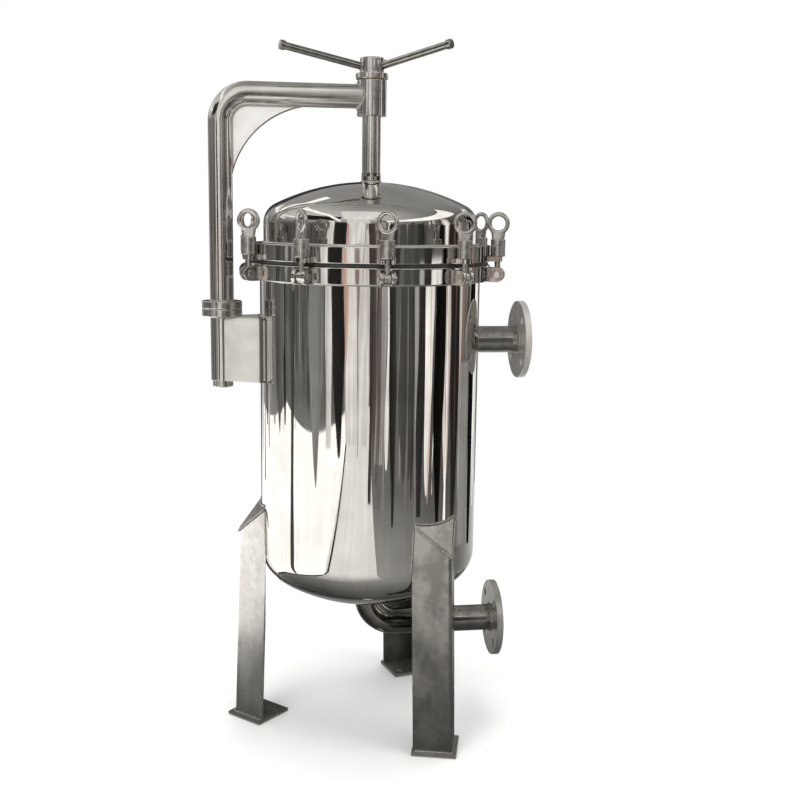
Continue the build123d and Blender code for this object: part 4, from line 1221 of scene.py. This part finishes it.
def make_surroundings():
    """A dim room, bright boards and dark flags round the object, and paper on the floor."""
    # Near the vessel's foot the reflected floor is kept dark: painted shade under the vessel, seen
    # only in the polished metal.
    floor = [
        (0.02, 0.003, 0.04, 0.07, 0.05, 0.12),
        (0.3, 0.003, 0.07, 0.16, 0.1, 0.3),
        (0.7, 0.003, 0.22, 0.36, 0.18, 0.6),
        (1.4, 0.003, 0.5, 0.46, 0.18, 0.9),
        (2.4, 0.003, 0.4, 0.22, 0.12, 0.9),
        (4.6, 0.003, 0.2, 0.15, 0.12, 0.6),
    ]
    wall = [
        floor[-1],
        (4.6, 0.9, 0.1, 0.15, 0.12, 0.4),
        (4.6, 1.3, 0.14, 0.2, 0.12, 0.4),
    ]
    roof = [
        wall[-1],
        (4.6, 2.4, 0.5, 0.5, 0.1, 0.36),
        (4.2, 2.8, 0.75, 0.7, 0.14, 0.32),
        (3.4, 3.3, 0.8, 0.7, 0.2, 0.32),
        (1.8, 3.6, 0.6, 0.6, 0.3, 0.34),
        (0.02, 3.7, 0.34, 0.34, 0.34, 0.34),
    ]
    glossy_only("room_floor", [room(floor)], "floor_light", 60, 0.05)
    glossy_only("room_wall", [room(wall)], "wall_light", 30, 0.45)
    glossy_only("room_roof", [room(roof)], "roof_light", 90, 0.03)
    boards = [
        board(-179, -148, 1.4, 1.6, 0.03, 0.06, foot_share=0.3),
        board(-147, -142, 2.6, 1.5, 0.5, 0.9),
        board(-139, -134, 2.3, 1.2, 0.35, 0.3, foot_share=0.8),
        board(-127, -123, 3.0, 1.3, 0.7, 0.7),
        board(-112, -96, 3.4, 1.0, 0.1, 0.2, foot_share=0.1),
        board(-77.5, -72.5, 0.8, 0.9, 0.12, 0.06, foot_share=0.5),
        board(-61, -46, 2.4, 0.95, 0.35, 0.25, foot_share=0.05),
        board(-57, -52, 3.6, 2.2, 0.1, 0.16, warmth=0.5),
        board(-44.5, -37, 3.2, 1.9, 0.85, 1.1),
        board(-37, -24, 3.0, 1.5, 0.03, 0.02, foot_share=0.1),
        board(-24, -1, 3.3, 2.8, 1.1, 0.95, foot_share=1),
        board(-1, 4, 2.2, 1.3, 0.06, 0.1, warmth=0.3),
        board(4, 14, 2.9, 1.9, 0.36, 0.5, foot_share=0.7, warmth=0.12),
        board(14, 19, 2.8, 1.6, 1.3, 1.2),
        board(19, 26, 1.9, 1.2, 0.02, 0.05, foot_share=0.1),
        board(26, 47, 2.6, 1.25, 0.1, 0.08),
        board(47, 55, 2.0, 1.3, 0.05, 0.03, foot_share=0.7),
        board(55, 66, 2.3, 0.93, 1.4, 1.1, foot_share=0.1),
        board(66, 79, 1.7, 1.15, 0.004, 0.01, foot_share=0.1),
        board(79, 88, 2.4, 2.0, 1.3, 0.8, foot_share=0.2, warmth=0.25),
        board(88, 101, 1.9, 1.2, 0.03, 0.02, foot_share=0.3),
        board(101, 110, 2.1, 1.4, 0.45, 0.3, warmth=0.6),
        board(101, 121, 1.5, 0.62, 0.42, 0.3, foot_share=0.8),
        board(121, 134, 1.45, 1.5, 0.005, 0.01, foot_share=0.5),
        board(134, 148, 1.9, 2.0, 1.5, 0.9),
        board(150, 178, 2.2, 1.8, 0.1, 0.25),
    ]
    glossy_only("boards", boards, "board_light", 40, 0.2)
    rng = np.random.default_rng(8)
    narrow = slivers(rng, -140, -60, 22, (3.3, 4.3), (0.04, 0.5))
    narrow += slivers(rng, -60, -2, 6, (3.0, 3.6), (0.3, 1.2))
    narrow += slivers(rng, 3, 60, 16, (1.7, 2.8), (0.04, 0.7))
    narrow += slivers(rng, 60, 178, 20, (1.4, 2.4), (0.02, 1.2))
    glossy_only("slivers", narrow, "sliver_light", 40, 0.2)
    papers = [
        sheet((-152, 0.65, 0.006, 1.7), (-92, 0.72, 0.006, 1.7),
              (-92, 4.4, 0.006, 1.7), (-150, 4.4, 0.006, 1.7)),
        sheet((-92, 0.72, 0.006, 1.7), (-44, 1.15, 0.006, 1.7),
              (-20, 4.4, 0.006, 1.7), (-92, 4.4, 0.006, 1.7)),
        sheet((-50, 0.8, 0.009, 0.5), (14, 0.9, 0.009, 0.42),
              (8, 1.45, 0.009, 1.1), (-40, 1.45, 0.009, 1.15)),
        sheet((-40, 1.45, 0.009, 1.15), (8, 1.45, 0.009, 1.1),
              (0, 4.4, 0.009, 1.15), (-20, 4.4, 0.009, 1.25)),
        sheet((-46, 1.1, 0.012, 0.03), (-43.5, 1.1, 0.012, 0.03),
              (-19.4, 4.4, 0.012, 0.03), (-20.4, 4.4, 0.012, 0.03)),
        sheet((-152, 0.61, 0.012, 0.04), (-92, 0.68, 0.012, 0.04),
              (-92, 0.73, 0.012, 0.04), (-152, 0.66, 0.012, 0.04)),
        sheet((-92, 0.68, 0.012, 0.04), (-43, 1.07, 0.012, 0.04),
              (-44, 1.16, 0.012, 0.04), (-92, 0.73, 0.012, 0.04)),
    ]
    glossy_only("floor_papers", papers, "paper_light", 60, 0.07)
    panels = [
        sheet((-28, 3.3, 2.6, 1.2), (2, 3.3, 2.6, 1.2), (24, 1.3, 3.2, 1.0), (-46, 1.3, 3.2, 1.0)),
        hung_band((15, 60, 116), ((3.0, 1.75), (2.9, 2.1), (2.3, 2.5)),
                  ((2.95, 2.0), (2.7, 2.7), (1.7, 3.2)), 1.5),
        hung_band((-150, -84), ((3.1, 2.3), (3.1, 2.2)), ((3.0, 2.5), (3.0, 2.4)), 1.3),
        hung_band((-80, -32), ((3.2, 1.9), (3.2, 2.1)), ((2.8, 2.9), (2.8, 2.9)), 0.02),
        hung_band((-150, -84, -50, -30), ((1.8, 3.06), (1.8, 2.94), (1.8, 2.37), (1.8, 1.39)),
                  ((1.8, 3.42), (1.8, 3.34), (1.8, 2.66), (1.8, 1.65)), 1.5),
        hung_band((-165, -140, -112), ((1.8, 2.51), (1.8, 2.32), (1.8, 1.52)),
                  ((1.8, 2.71), (1.8, 2.56), (1.8, 1.72)), 1.5),
        hung_band((-150, -125, -100), ((1.8, 1.93), (1.8, 1.72), (1.8, 1.45)),
                  ((1.8, 2.08), (1.8, 1.89), (1.8, 1.62)), 1.2),
    ]
    glossy_only("roof_panels", panels, "panel_light", 60, 0.08)


def make_lamp(name, place, size, power):
    """A square soft box, aimed at the vessel's middle."""
    data = bpy.data.lights.new(name, "AREA")
    data.size = size
    data.energy = power
    lamp = bpy.data.objects.new(name, data)
    lamp.location = place
    aim = Vector((0, 0, 0.7)) - Vector(place)
    lamp.rotation_mode = "QUATERNION"
    lamp.rotation_quaternion = aim.to_track_quat("-Z", "Y")
    lamp.visible_camera = False
    lamp.visible_glossy = False
    bpy.context.scene.collection.objects.link(lamp)


def make_studio():
    """Floor, world, lamps and surroundings."""
    disc = surface(turned([0.0, 2.0, 8.0, 30.0], [0.0] * 4, 96))
    stage_piece("floor", *disc, floor_material())
    world = bpy.data.worlds.new("studio")
    bpy.context.scene.world = world
    world.use_nodes = True
    tree = world.node_tree
    tree.nodes.clear()
    level = add(tree, "MapRange", (seen_directly(tree), 0, 1, 0.75, 1.0))
    add(tree, "OutputWorld", {"Surface": add(tree, "Background", (WHITE, level))})
    make_lamp("key_lamp", (-1.8, -2.4, 2.6), 1.8, 60)
    make_lamp("fill_lamp", (2.6, -1.6, 1.8), 1.8, 30)
    make_lamp("top_lamp", (0.2, 0.6, 3.2), 2.2, 45)
    make_surroundings()


make_camera()
make_studio()
bpy.context.scene.view_settings.view_transform = "Standard"
